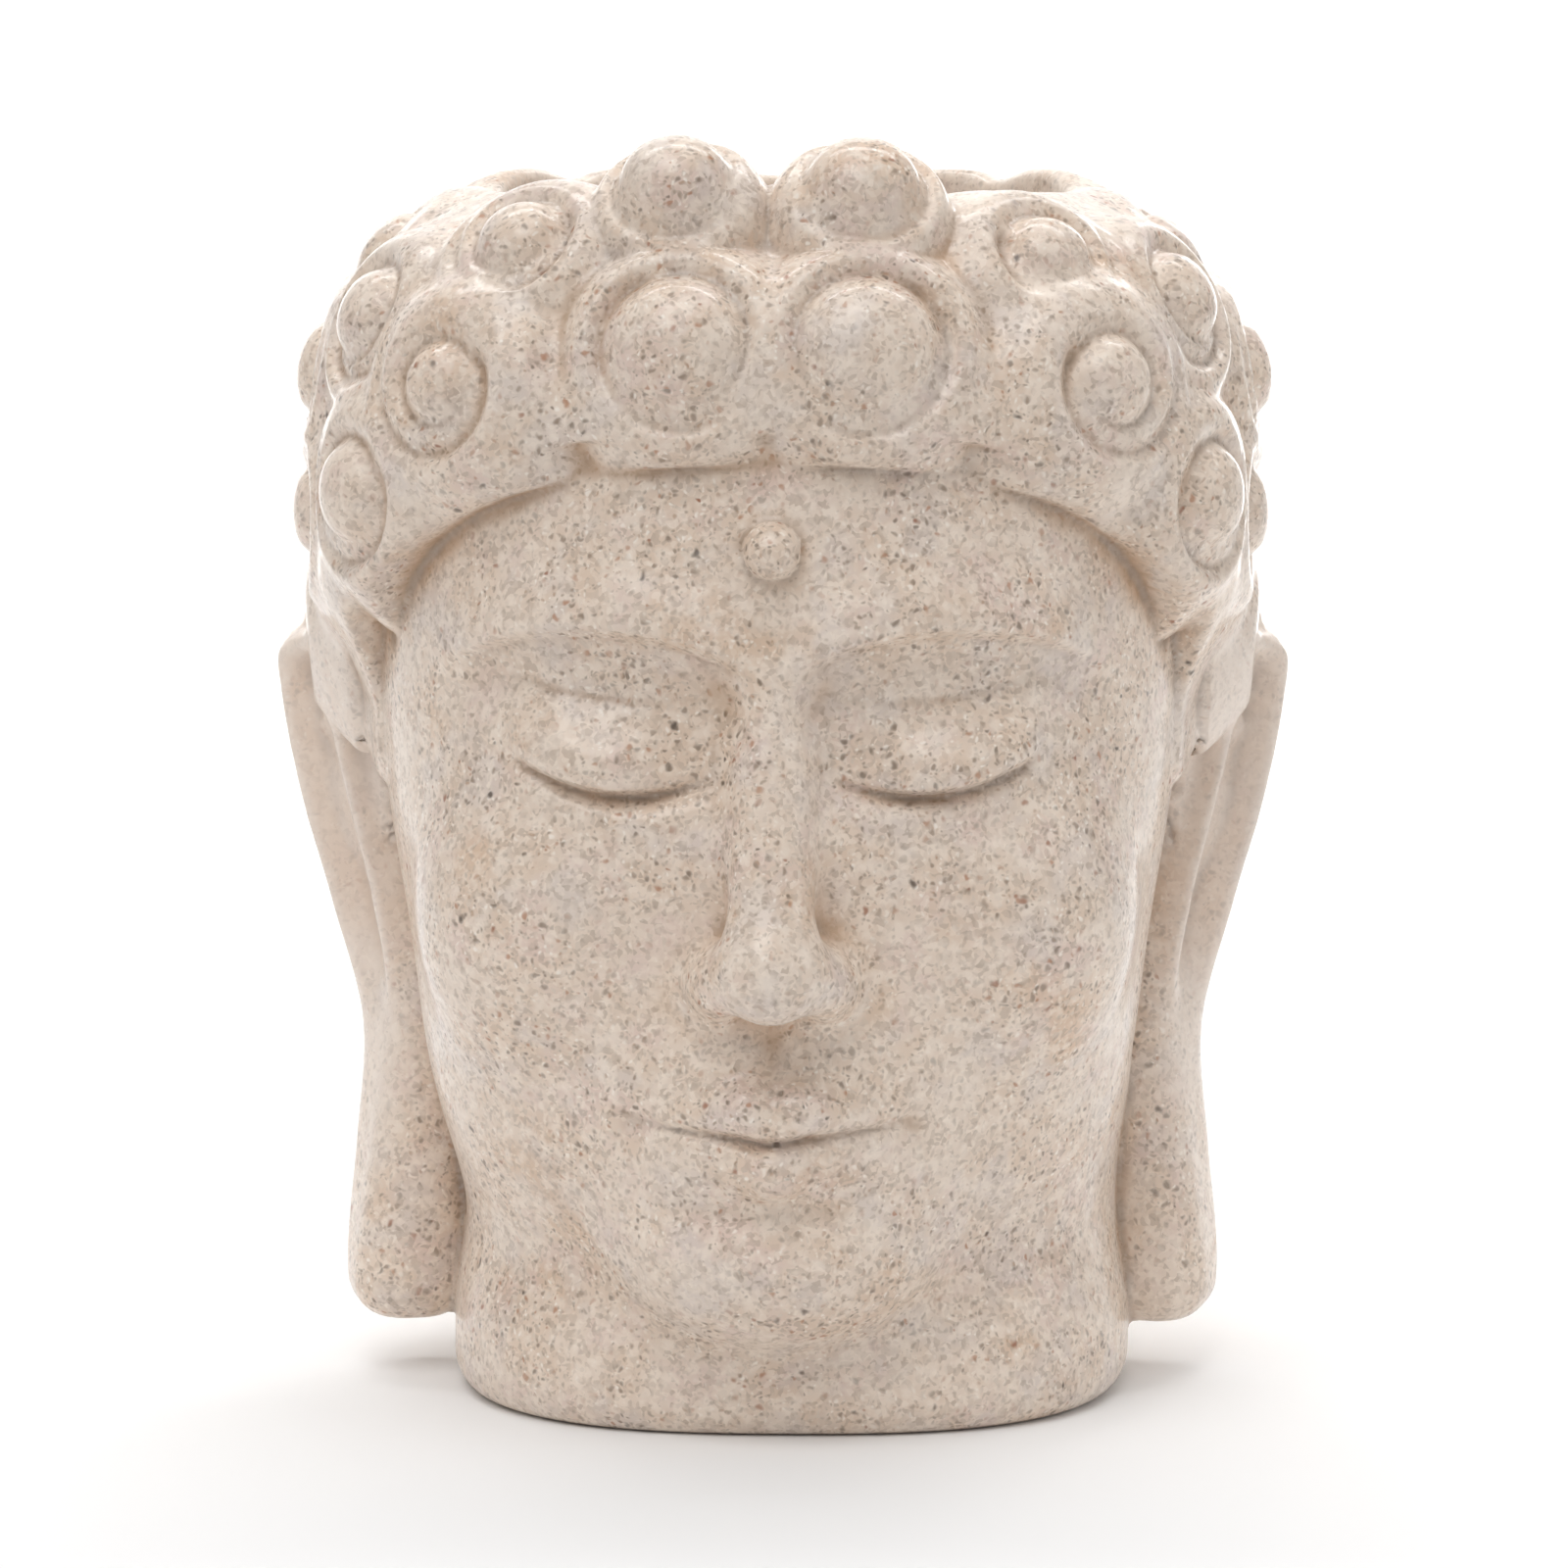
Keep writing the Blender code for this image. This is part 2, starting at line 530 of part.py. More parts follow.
def ear(p):
    x, y, z = mirrored(p)
    over_ear = EAR_MIDDLE + EAR_HALF_HEIGHT + EAR_MARGIN
    beside = (x > EAR_ACROSS[0] - EAR_MARGIN) & (np.abs(y - EAR_BACK[0]) < 2.0 * EAR_MARGIN)
    near = beside & (z < over_ear)
    form = np.full(x.shape, FAR)
    if not near.any():
        return form
    q = [c[near] for c in p]
    z = q[2]
    along, outward = ear_place(q)
    thick = along_keys(z, EAR_HEIGHTS, EAR_HALF_THICK)
    breadth = along_keys(z, EAR_HEIGHTS, EAR_HALF_BREADTH)
    plan = rounded_corner(np.abs(along) - breadth, np.abs(outward) - thick, EAR_ROUNDING * thick)
    slab = rounded_corner(plan, np.abs(z - EAR_MIDDLE) - EAR_HALF_HEIGHT, EAR_END_EDGE)
    form[near] = slab - ear_relief(along, outward, z, breadth)
    return form


def head(p, curls, unit):
    form = join(face(p) - face_relief(p), head_under_hair(p), HEAD_SOFTNESS)
    form = cut(form, ear_gap(p), EAR_GAP_SOFTNESS)
    form = join(form, neck(p, unit), HEAD_SOFTNESS)
    form = join(form, hair(p, curls), HAIR_EDGE_SOFTNESS)
    return join(form, ear(p), EAR_SOFTNESS)


def enlarged(values, ratio):
    """The grid with ratio times the points along each axis, worked out in straight lines between."""
    for axis in range(3):
        count = (values.shape[axis] - 1) * ratio + 1
        place = np.arange(count) / ratio
        i = np.minimum(place.astype(int), values.shape[axis] - 2)
        shape = [1, 1, 1]
        shape[axis] = -1
        share = (place - i).reshape(shape)
        values = np.take(values, i, axis) * (1.0 - share) + np.take(values, i + 1, axis) * share
    return values


def carved_points(form):
    """The surface of a form as points and four-sided faces, worked out finely only where it is near."""
    coarse = GRID_SPACING * COARSE_RATIO
    tallest = max(curl[3] for curl in FRONT_CURLS)
    reach = [SKULL_SIZE[k] + tallest for k in range(3)]
    low = np.array((-reach[0], SKULL_CENTRE[1] - reach[1], 0.0)) - GRID_MARGIN
    high = np.array((reach[0], SKULL_CENTRE[1] + reach[1], SKULL_CENTRE[2] + reach[2])) + GRID_MARGIN
    counts = np.ceil((high - low) / coarse).astype(int) + 1
    axes = [low[k] + coarse * np.arange(counts[k]) for k in range(3)]
    values = enlarged(form(np.meshgrid(*axes, indexing="ij")), COARSE_RATIO)
    near = np.abs(values) < SURFACE_BAND * coarse
    places = np.nonzero(near)
    values[near] = form([low[k] + GRID_SPACING * places[k] for k in range(3)])
    grid = openvdb.FloatGrid(10.0)
    grid.copyFromArray(values.astype(np.float32))
    points, faces = grid.convertToQuads(0.0)
    points = points * GRID_SPACING + low
    for _ in range(2):
        points = onto_surface(form, points)
    return points, faces


def onto_surface(form, points):
    """The points moved along the form's slope to where it is naught."""
    here = [points[:, k] for k in range(3)]
    value = form(here)
    slope = np.zeros(points.shape)
    for k in range(3):
        beside = [c.copy() for c in here]
        beside[k] += SLOPE_STEP
        slope[:, k] = (form(beside) - value) / SLOPE_STEP
    size = np.maximum((slope**2).sum(axis=1), LEAST_SLOPE)
    return points - np.clip(value / size, -1.0, 1.0)[:, None] * slope


def solid(name, points, faces, helper=False):
    mesh = bpy.data.meshes.new(name)
    mesh.from_pydata(points, [], faces)
    mesh.update()
    obj = bpy.data.objects.new(name, mesh)
    bpy.context.scene.collection.objects.link(obj)
    if helper:
        obj.hide_render = True
        obj.display_type = "WIRE"
    return obj


def box(name, low, high):
    points = [(x, y, z) for x in (low[0], high[0]) for y in (low[1], high[1]) for z in (low[2], high[2])]
    faces = [(0, 1, 3, 2), (4, 6, 7, 5), (0, 4, 5, 1), (2, 3, 7, 6), (0, 2, 6, 4), (1, 5, 7, 3)]
    return solid(name, points, faces, helper=True)


def turned(name, profile):
    """A cutter turned about the well's axis, from a profile of radius and height, from the top down."""
    points = [(radius, 0.0, height) for radius, height in profile]
    edges = [(i, i + 1) for i in range(len(points) - 1)]
    mesh = bpy.data.meshes.new(name)
    mesh.from_pydata(points, edges, [])
    obj = bpy.data.objects.new(name, mesh)
    bpy.context.scene.collection.objects.link(obj)
    obj.location = (0.0, WELL_SET_BACK, 0.0)
    obj.hide_render = True
    obj.display_type = "WIRE"
    screw = obj.modifiers.new("turn", "SCREW")
    screw.axis = "Z"
    screw.steps = TURNED_STEPS
    screw.render_steps = TURNED_STEPS
    screw.use_merge_vertices = True
    screw.merge_threshold = 0.00001
    screw.use_smooth_shade = True
    return obj


def well_profile():
    top = HEAD_HEIGHT + CUTTER_OVERSHOOT
    floor_radius = WELL_FLOOR_DIAMETER / 2.0
    mouth_radius = WELL_MOUTH_DIAMETER / 2.0
    widening = (mouth_radius - floor_radius) / (HEAD_HEIGHT - FLOOR_THICKNESS)
    profile = [(0.0, top), (floor_radius + widening * (top - FLOOR_THICKNESS), top)]
    for i in range(FILLET_STEPS + 1):
        angle = pi / 2.0 * i / FILLET_STEPS
        radius = floor_radius - WELL_FILLET * (1.0 - cos(angle))
        profile.append((radius, FLOOR_THICKNESS + WELL_FILLET * (1.0 - sin(angle))))
    profile.append((0.0, FLOOR_THICKNESS))
    return profile


def drain_profile():
    radius = DRAIN_HOLE_DIAMETER / 2.0
    top = FLOOR_THICKNESS + CUTTER_OVERSHOOT
    return [(0.0, top), (radius, top), (radius, -CUTTER_OVERSHOOT), (0.0, -CUTTER_OVERSHOOT)]


def cut_away(obj, cutter):
    boolean = obj.modifiers.new(cutter.name, "BOOLEAN")
    boolean.operation = "DIFFERENCE"
    boolean.solver = "EXACT"
    boolean.object = cutter


def stone_material():
    material = bpy.data.materials.new("cast_sandstone")
    material.use_nodes = True
    shader = material.node_tree.nodes["Principled BSDF"]
    shader.inputs["Base Color"].default_value = STONE_COLOUR
    shader.inputs["Roughness"].default_value = STONE_ROUGHNESS
    return material


def main():
    for obj in list(bpy.data.objects):
        bpy.data.objects.remove(obj)
    unit = (HEAD_WIDTH / CARVED_WIDTH, HEAD_DEPTH / CARVED_DEPTH, HEAD_HEIGHT / CARVED_HEIGHT)
    curls = all_curls()
    points, faces = carved_points(lambda p: head(p, curls, unit))
    points = points * np.array(unit)
    points[:, 1] -= (points[:, 1].min() + points[:, 1].max()) / 2.0
    planter = solid(NODE, points.tolist(), faces.tolist())
    planter.data.shade_smooth()
    planter.data.materials.append(stone_material())
    fewer = planter.modifiers.new("fewer", "DECIMATE")
    fewer.ratio = CARVED_TRIANGLES / (2.0 * len(faces))
    below = (-HEAD_WIDTH, -HEAD_DEPTH, -HEAD_HEIGHT)
    cut_away(planter, box("foot_plane", below, (HEAD_WIDTH, HEAD_DEPTH, 0.0)))
    cut_away(planter, turned("well", well_profile()))
    cut_away(planter, turned("drain", drain_profile()))


main()
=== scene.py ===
"""Looks of the head planter: one finely carved casting of speckled, clear-coated sandstone resin.

Metres, +Z up, the face looks along -Y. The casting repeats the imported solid's form in a finer mesh,
and rounds the well's lip, the foot's edge and the drain hole's edges.
"""

from math import cos, pi, radians, sin

import bpy
import numpy as np
import openvdb
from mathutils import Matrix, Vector


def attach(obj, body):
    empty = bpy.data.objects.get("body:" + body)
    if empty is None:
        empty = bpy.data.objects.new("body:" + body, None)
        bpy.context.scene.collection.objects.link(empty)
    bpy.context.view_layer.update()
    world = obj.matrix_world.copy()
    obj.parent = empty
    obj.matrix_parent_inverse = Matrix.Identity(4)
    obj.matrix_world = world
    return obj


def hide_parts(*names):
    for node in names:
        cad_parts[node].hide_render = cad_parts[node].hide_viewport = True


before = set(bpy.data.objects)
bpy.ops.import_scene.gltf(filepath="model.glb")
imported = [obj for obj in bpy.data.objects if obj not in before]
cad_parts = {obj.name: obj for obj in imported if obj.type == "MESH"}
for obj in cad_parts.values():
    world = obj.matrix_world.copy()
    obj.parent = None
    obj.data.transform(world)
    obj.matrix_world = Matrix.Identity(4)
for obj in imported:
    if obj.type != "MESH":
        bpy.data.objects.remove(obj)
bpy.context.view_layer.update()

# Overall sizes. The carving below is held in hundredths of the head's height and is scaled to these.
HEAD_HEIGHT = 0.1350
HEAD_WIDTH = 0.1096
HEAD_DEPTH = 0.1120
CARVED_HEIGHT = 100.0
CARVED_WIDTH = 81.2
CARVED_DEPTH = 83.0

# The neck, which is the foot that the planter stands on
NECK_WIDTH = 0.0734
NECK_DEPTH = 0.0750
NECK_ASIDE = 0.0012
NECK_ROUNDING = 0.0043

# Planting well and drain
WELL_MOUTH_DIAMETER = 0.064
WELL_FLOOR_DIAMETER = 0.048
WELL_SET_BACK = 0.005
WELL_FILLET = 0.004
FLOOR_THICKNESS = 0.010
DRAIN_HOLE_DIAMETER = 0.010

# In carving units, how softly the well's lip, the foot's edge and the drain hole's edges are rounded, and how
# far the drain hole's form reaches up over the floor
LIP_ROUNDING = 1.6
FOOT_EDGE = 0.5
DRAIN_OVERLAP = 2.0
DRAIN_EDGE = 0.2
DRAIN_ROUNDING = 0.4

# The grids that the surface is worked out on, in carving units: for the mesh, for a quick one, for the head's
# middle alone and for the first coarse look, with the margin round the head
GRID_SPACING = 0.5
MIDDLE_SPACING = 1.0
COARSE_SPACING = 3.2
GRID_MARGIN = 3.0
# How near the surface the grid is worked out finely, in coarse steps, and its value outside its box
SURFACE_BAND = 1.6
GRID_OUTSIDE = 10.0
# How often the points are moved onto the surface, the step that its slope is read over and the least slope
SURFACE_PASSES = 2
SLOPE_STEP = 0.05
LEAST_SLOPE = 0.05
# Least divisor of a distance, and how many triangles the casting keeps
LEAST_LENGTH = 1e-6
CASTING_TRIANGLES = 185000

# The skull with its hair: centre, half-sizes over and under the centre, fullness in plan and in height
SKULL_CENTRE = (0.0, 2.6, 66.0)
SKULL_SIZE = (36.8, 35.6, 32.0)
SKULL_DROP = 52.0
SKULL_PLAN = 2.3
SKULL_CROWN = 3.2
SKULL_NAPE = 2.6
HAIR_END = 17.0
TEMPLE_THINNING = 3.4
TEMPLE_TOP = 65.0
TEMPLE_FADE = 11.0
TEMPLE_FRONT = (-6.0, 6.0)

# The arch of the hairline that the face looks out of, as a half sweep in degrees and a height
HAIRLINE_HALF_SWEEP = 70.0
HAIRLINE_MIDDLE = 46.0
HAIRLINE_HALF_HEIGHT = 32.2
HAIRLINE_POWER = 2.4
CURLS_OVER_HAIRLINE = 2.6
HAIR_ROLL = 1.5
HAIR_ROLL_PLACE = 2.5
HAIR_ROLL_WIDTH = 4.0
HAIR_ROLL_START = (58.0, 70.0)
TEMPLE_ROUNDING = 8.0

# Curls: azimuth from the front and elevation over the skull's centre in degrees, radius, height,
# the dome's share of the radius, where its spiral starts in degrees, and which way it winds
FRONT_CURLS = (
    (-15.8, 47.0, 7.4, 7.0, 0.62, 100.0, 1),
    (14.2, 47.0, 7.6, 6.8, 0.61, 80.0, -1),
    (-37.5, 39.6, 8.8, 3.8, 0.42, 70.0, -1),
    (40.0, 38.0, 8.8, 3.2, 0.42, 110.0, 1),
    (-61.0, 30.0, 9.2, 3.2, 0.44, 100.0, 1),
    (62.0, 32.0, 9.2, 3.4, 0.44, 80.0, -1),
    (-11.9, 28.8, 9.6, 4.6, 0.56, 80.0, 1),
    (11.9, 28.6, 9.8, 4.6, 0.56, 100.0, -1),
    (-41.0, 22.8, 10.4, 4.1, 0.32, 70.0, -1),
    (42.0, 23.2, 10.4, 4.1, 0.35, 110.0, 1),
    (-56.0, 10.6, 9.2, 3.7, 0.46, 60.0, -1),
    (58.5, 10.2, 9.2, 3.7, 0.46, 120.0, 1),
    (-86.0, 23.5, 9.6, 3.0, 0.44, 100.0, 1),
    (86.0, 23.5, 9.6, 3.5, 0.44, 80.0, -1),
    (-81.0, 7.0, 8.6, 2.3, 0.46, 80.0, -1),
    (81.0, 7.0, 8.6, 2.3, 0.46, 100.0, 1),
    (-84.0, 39.0, 8.8, 2.2, 0.46, 100.0, 1),
    (86.0, 39.0, 8.8, 2.0, 0.46, 80.0, -1),
)
# Rows round the back: elevation, half sweep about the back's middle, height, and the curls in each row
BACK_ROWS = (
    (42.0, 60.0, 2.6),
    (25.0, 67.0, 3.6),
    (7.0, 70.0, 3.0),
    (-11.0, 82.0, 2.8),
    (-29.0, 74.0, 3.2),
)
BACK_ROW_COUNTS = (5, 6, 6, 7, 6)
BACK_MIDDLE = 180.0
BACK_CURL_RADIUS = 9.4
BACK_DOME_SHARE = 0.46
# Where a back curl's spiral starts in degrees and which way it winds, on the head's left and on its right
LEFT_WINDING = (100.0, -1)
RIGHT_WINDING = (80.0, 1)
DOME_RISE = 0.28
DOME_GROOVE_SHARE = 0.6
MOUND_POWER = 3.2
DOME_DROP = 0.5
SPIRAL_END = 0.76
SPIRAL_FULL = 0.15
SPIRAL_FADE = (0.5, 0.95)
CURL_GROOVE = 1.2
CURL_GROOVE_WIDTH = 0.85
CURL_LIP = 0.6
CURL_BLEND = 1.2
CURL_REACH = 1.35
STEEPEST_CURL = 54.0
SEAT_HALVINGS = 40
SEAT_NUDGE = 0.5

# Neck in carving units: the heights its waist draws in between, by how much, its fullness and its top
NECK_WAIST = (5.0, 15.0)
WAIST_NARROWING = (1.0, 3.0)
NECK_SET_BACK = 1.0
NECK_PLAN = 2.6
NECK_TOP = 26.0
FOOT_ALLOWANCE = 0.5

# Ear: heights, and at each the middle of its plan, its turn to the front, half thickness and breadth
EAR_HEIGHTS = (3.7, 8.0, 18.0, 27.0, 31.7, 38.0, 45.0, 52.0, 58.0)
EAR_ACROSS = (30.2, 30.3, 29.8, 29.6, 30.2, 31.2, 32.6, 34.2, 36.2)
EAR_BACK = (1.0, 1.0, 1.5, 2.0, 2.2, 2.4, 2.6, 2.8, 3.2)
EAR_TURN = (12.0, 14.0, 22.0, 34.0, 42.0, 50.0, 55.0, 53.0, 50.0)
EAR_HALF_THICK = (4.7, 4.7, 4.3, 3.6, 2.9, 2.6, 2.4, 2.2, 2.0)
EAR_HALF_BREADTH = (5.0, 5.8, 5.4, 4.8, 5.0, 5.6, 6.4, 6.5, 5.2)
EAR_MIDDLE = 32.3
EAR_HALF_HEIGHT = 28.0
EAR_ROUNDING = 0.9
EAR_END_EDGE = 3.0
EAR_MARGIN = 10.0
EAR_CORNER = 4.0
# Rims and hollows of the upper ear: distance in from its edge, width and height
EAR_RELIEF = (
    (1.3, 0.9, 0.7),
    (3.8, 1.4, -2.2),
    (6.3, 0.8, 0.9),
    (9.0, 1.7, -2.2),
)
EAR_RELIEF_START = (28.0, 38.0)
EAR_RELIEF_SIDE = (-0.5, 0.5)
# The gap between the face and the front of the ear: how far beside the ear's middle, size and heights
EAR_GAP_PLACE = (2.6, -2.6)
EAR_GAP_SIZE = (6.0, 3.8)
EAR_GAP_MIDDLE = 39.0
EAR_GAP_HALF_HEIGHT = 17.0
EAR_GAP_ROUNDING = 5.5
EAR_GAP_SOFTNESS = 1.6

# The side hair leaves room before the ear, along a slant that falls to the front
EAR_ROOM_TOP = 57.8
EAR_ROOM_FRONT = 3.0
EAR_ROOM_FALL = 1.15
EAR_ROOM_GAP = 1.2

# How softly the forms run into each other, and the rounding of mirrored forms at the middle plane
HEAD_SOFTNESS = 3.0
NAPE_SOFTNESS = 4.0
JAW_SOFTNESS = 5.0
HAIR_END_SOFTNESS = 4.0
HAIR_EDGE_SOFTNESS = 0.6
CURL_EDGE_SOFTNESS = 1.2
EAR_SOFTNESS = 0.9
MIDDLE_ROUNDING = 0.05
# Distance that stands for anywhere out of a form's reach
FAR = 9.0

# Egg shapes under the hair and of the face: centre, half-sizes, fullness in plan and in height
UNDER_CROWN = ((0.0, 2.0, 62.0), (31.8, 33.0, 33.0), 2.35, 2.6)
UNDER_SIDES = ((0.0, 2.0, 62.0), (31.8, 33.0, 31.0), 2.35, 2.6)
UNDER_NAPE = ((0.0, 3.0, 50.0), (29.2, 31.0, 44.0), 2.4, 2.6)
BROAD_FACE = ((0.0, 1.0, 60.0), (31.2, 34.4, 37.0), 2.35, 2.5)
JAW = ((0.0, -6.0, 38.0), (28.6, 26.6, 31.5), 2.15, 2.6)

# Rounded forms of the face: centre, half-sizes, softness of the join. One off the middle has a mirror twin
CHEEK = ((16.0, -19.5, 40.0), (11.5, 12.0, 13.0), 4.0)
MUZZLE = ((0.0, -23.5, 25.5), (13.5, 11.5, 10.0), 5.0)
CHIN = ((0.0, -23.6, 14.2), (11.5, 10.4, 7.6), 7.0)
EYE_SOCKET = ((11.6, -36.3, 54.0), (9.8, 7.8, 5.0), 4.5)
EYEBALL = ((12.2, -24.0, 53.2), (8.6, 6.9, 6.4), 1.5)
NOSE_TIP = ((0.0, -37.4, 37.6), (4.1, 3.9, 3.6), 2.4)
NOSE_WING = ((4.0, -33.2, 36.4), (2.5, 3.8, 2.7), 2.6)
NOSTRIL = ((2.3, -36.4, 33.4), (1.3, 2.4, 1.2), 0.7)
LIP_MIDDLE = ((0.0, -34.2, 26.1), (2.2, 1.9, 1.7), 1.0)
# Rods of the face: start, end, the radius at each, softness of the join
NOSE_BRIDGE = ((0.0, -31.2, 59.0), (0.0, -36.8, 39.0), 2.6, 3.4, 2.6)
UPPER_LIP = ((1.8, -34.1, 26.9), (9.8, -31.3, 25.6), 2.4, 0.8, 0.7)
LOWER_LIP = ((0.0, -33.4, 22.2), (8.2, -31.2, 24.2), 3.0, 1.0, 0.7)
# Brow: foot, rise, middle and half sweep of its arch; height of its edge and where that starts, is full
# and fades out over the arch; depth of the dip under it, how far under, and width; where it ends sideways
BROW_ARCH = (56.0, 7.0, 13.5, 14.0)
BROW_EDGE = (1.5, -0.8, 0.4, 7.0)
BROW_DIP = (1.4, 3.0, 2.2)
BROW_INNER_END = (0.5, 4.5)
BROW_OUTER_END = (21.0, 27.5)
# Lids: middle, half width, roundness of the ends; height, slant and sag of the lashes; the upper lid's edge
# as height, start, full, fade and end over the lashes; lines as place, width and height; the lid's crease
LID_MIDDLE = 12.4
LID_HALF_WIDTH = 7.8
LID_END_POWER = 0.6
LASH_LINE = (52.8, 0.7, 2.1)
LID_EDGE = (1.4, -0.3, 0.5, 1.5, 6.2)
LID_LINES = ((-0.4, 0.5, -0.7), (-1.8, 1.0, 0.5))
LID_CREASE = (7.0, 1.2, 0.6, -0.8)
# Mouth: depth and width of each line and groove, its height, and where it starts, is full and fades out
LIP_GROOVE = (0.55, 1.25, 28.4, 30.6, 31.5, 34.0)
LIP_PARTING = (24.8, 0.5, 2.0, 0.009)
LIP_LINE = (0.7, 0.5, 8.5, 11.0)
LIP_CORNER = (0.8, 10.6, 25.4, 1.4)
CHIN_CREASE = (0.8, 18.9, 1.9, 3.5, 9.5)
FACE_MARK_HEIGHT = 69.2
FACE_MARK_RADIUS = 2.2
FACE_MARK_RELIEF = 2.2
# The face's relief fades out between these depths, from the middle of the head to its front
RELIEF_FADE = (16.0, 22.0)

# The camera: where it stands, and the photo's own frame that its lens and shift are given in
PHOTO_PIXELS = 1600.0
FOCAL_PIXELS = 6591.0
SENSOR_WIDTH = 36.0
VIEW_TARGET = (0.0, 0.0, 0.067)
VIEW_DISTANCE = 0.70
VIEW_AZIMUTH = 1.2
VIEW_ELEVATION = 6.5
VIEW_SHIFT_PIXELS = (3.0, -23.3)
VIEW_CLIP = (0.05, 20.0)

# The studio: floor, backdrop and lights. Each light: name, place, width, height and power, then what it is
# aimed at where that isn't the head's middle
SWEEP_FRONT = 1.6
SWEEP_BEND_START = 0.7
SWEEP_BEND = 0.5
SWEEP_STEPS = 16
SWEEP_HEIGHT = 2.2
SWEEP_HALF_WIDTH = 1.8
PAPER = (0.93, 0.93, 0.93, 1.0)
FRONT_PAPER = (0.50, 0.50, 0.50, 1.0)
PAPER_FADE = (-0.30, -0.09)
PAPER_ROUGHNESS = 0.9
PAPER_GLOSS = 0.2
ROOM_LIGHT = 0.34
ROOM_COLOUR = (1.0, 1.0, 1.0, 1.0)
HEAD_MIDDLE = (0.0, 0.0, 0.07)
LIGHTS = (
    ("key", (-0.33, -0.85, 1.30), 1.0, 1.0, 9.2),
    ("fill", (0.50, -1.2, 0.80), 0.9, 0.9, 0.3),
    ("side_right", (0.90, -0.15, 0.45), 0.5, 0.5, 0.8),
    ("side_left", (-0.90, -0.15, 0.45), 0.5, 0.5, 0.2),
    ("rim_right", (0.29, 0.62, 0.18), 0.10, 0.7, 0.8),
    ("rim_left", (-0.29, 0.62, 0.18), 0.10, 0.7, 0.3),
    ("top", (0.05, -0.15, 1.2), 0.8, 0.8, 2.0),
    ("backdrop", (0.0, 0.45, 1.1), 1.4, 0.4, 12.0, (0.0, 1.2, 0.2)),
)


def linear(red, green, blue):
    """A colour as it looks on screen, 0 to 255, as the shader's light values, by the sRGB curve."""
    channels = []
    for value in (red, green, blue):
        share = value / 255.0
        channels.append(share / 12.92 if share < 0.04045 else ((share + 0.055) / 1.055) ** 2.4)
    return (*channels, 1.0)


# The stone's colours, the painted shade for hollows and painted light for the ears, and the sizes of its
# clouds and grains in metres
CREAM = linear(230, 213, 197)
WARM_CREAM = linear(224, 202, 182)
BLUSH = linear(222, 198, 188)
COOL_GREY = linear(218, 206, 198)
STAIN = linear(205, 165, 126)
SHADED_GRAIN = linear(176, 157, 140)
# Pale grains; the same colour is also the painted highlight on ridges
PALE_GRAIN_AND_HIGHLIGHT = linear(245, 231, 216)
# Painted light: the colour that makes the ears paler
EAR_PAINTED_LIGHT = linear(243, 230, 219)
# Painted shade: the colour that hollows and creases are darkened towards
PAINTED_HOLLOW_SHADE = linear(132, 112, 96)
NOISE_BLOT = 0.6
CLOUD_SIZE = 0.0045
CLOUD_DETAIL = (3.0, 0.6)
CLUSTER_SIZE = 0.0045
CLUSTER_SPAN = (0.36, 0.6, 0.3, 1.0)
PALE_SIZE = 0.0011
PALE_SPAN = (0.48, 0.66, 0.0, 0.5)
FINE_GRAIN = 0.00052
STIR_SIZE = 0.00073
STIR_AMOUNT = 0.00114
STIR_DETAIL = 1.0
NOISE_MIDDLE = (0.5, 0.5, 0.5)
# Tints by a random share: its channel, the span it comes in over with its least and most, and the tint
CLOUD_TINTS = (
    ("Red", (0.35, 0.65, 0.0, 1.0), WARM_CREAM),
    ("Green", (0.5, 0.68, 0.0, 0.6), BLUSH),
    ("Blue", (0.48, 0.66, 0.0, 0.6), COOL_GREY),
)
PACKED_TINTS = (
    ("Red", (0.45, 1.0, 0.0, 0.5), SHADED_GRAIN),
    ("Green", (0.6, 1.0, 0.0, 0.4), PALE_GRAIN_AND_HIGHLIGHT),
)
# Warm stain in broad patches, and in broader hollows by their depth under the form smoothed over a reach
STAIN_SIZE = 0.012
STAIN_SPAN = (0.56, 0.72, 0.0, 0.5)
STAINED_HOLLOWS = (0.4, 0.6)
SOCKET_REACH = 0.0045
SOCKET_STAIN = (0.0001, 0.0009, 0.0, 0.7)
# Hollows are read against the form smoothed over this reach; painted shade makes hollows darker and a painted
# highlight makes ridges paler, by their depth
HOLLOW_REACH = 0.0023
HOLLOW_SHADE = (0.00004, 0.00055, 0.0, 0.65)
RIDGE_PAINTED_HIGHLIGHT = (-0.00010, -0.0007, 0.0, 0.35)
# Painted light that makes the ears paler, by place
EAR_LIGHT_SHARE = 0.6
EAR_LIGHT_ACROSS = (0.039, 0.044)
EAR_LIGHT_FOOT = (0.012, 0.040)
EAR_LIGHT_TOP = (0.080, 0.085)
EAR_LIGHT_FRONT = (-0.009, -0.003)
EAR_LIGHT_BACK = (0.011, 0.015)
# The stone's surface and the clear lacquer over it
STONE_ROUGHNESS = (0.48, 0.62)
STONE_GLOSS = 0.4
LACQUER_WEIGHT = 0.6
LACQUER_ROUGHNESS = 0.16
LACQUER_IOR = 1.5
WAVE_SIZE = 0.0016
WAVE_DETAIL = (2.0, 0.7)
WAVE_STRENGTH = 0.4
WAVE_HEIGHT = 0.0003
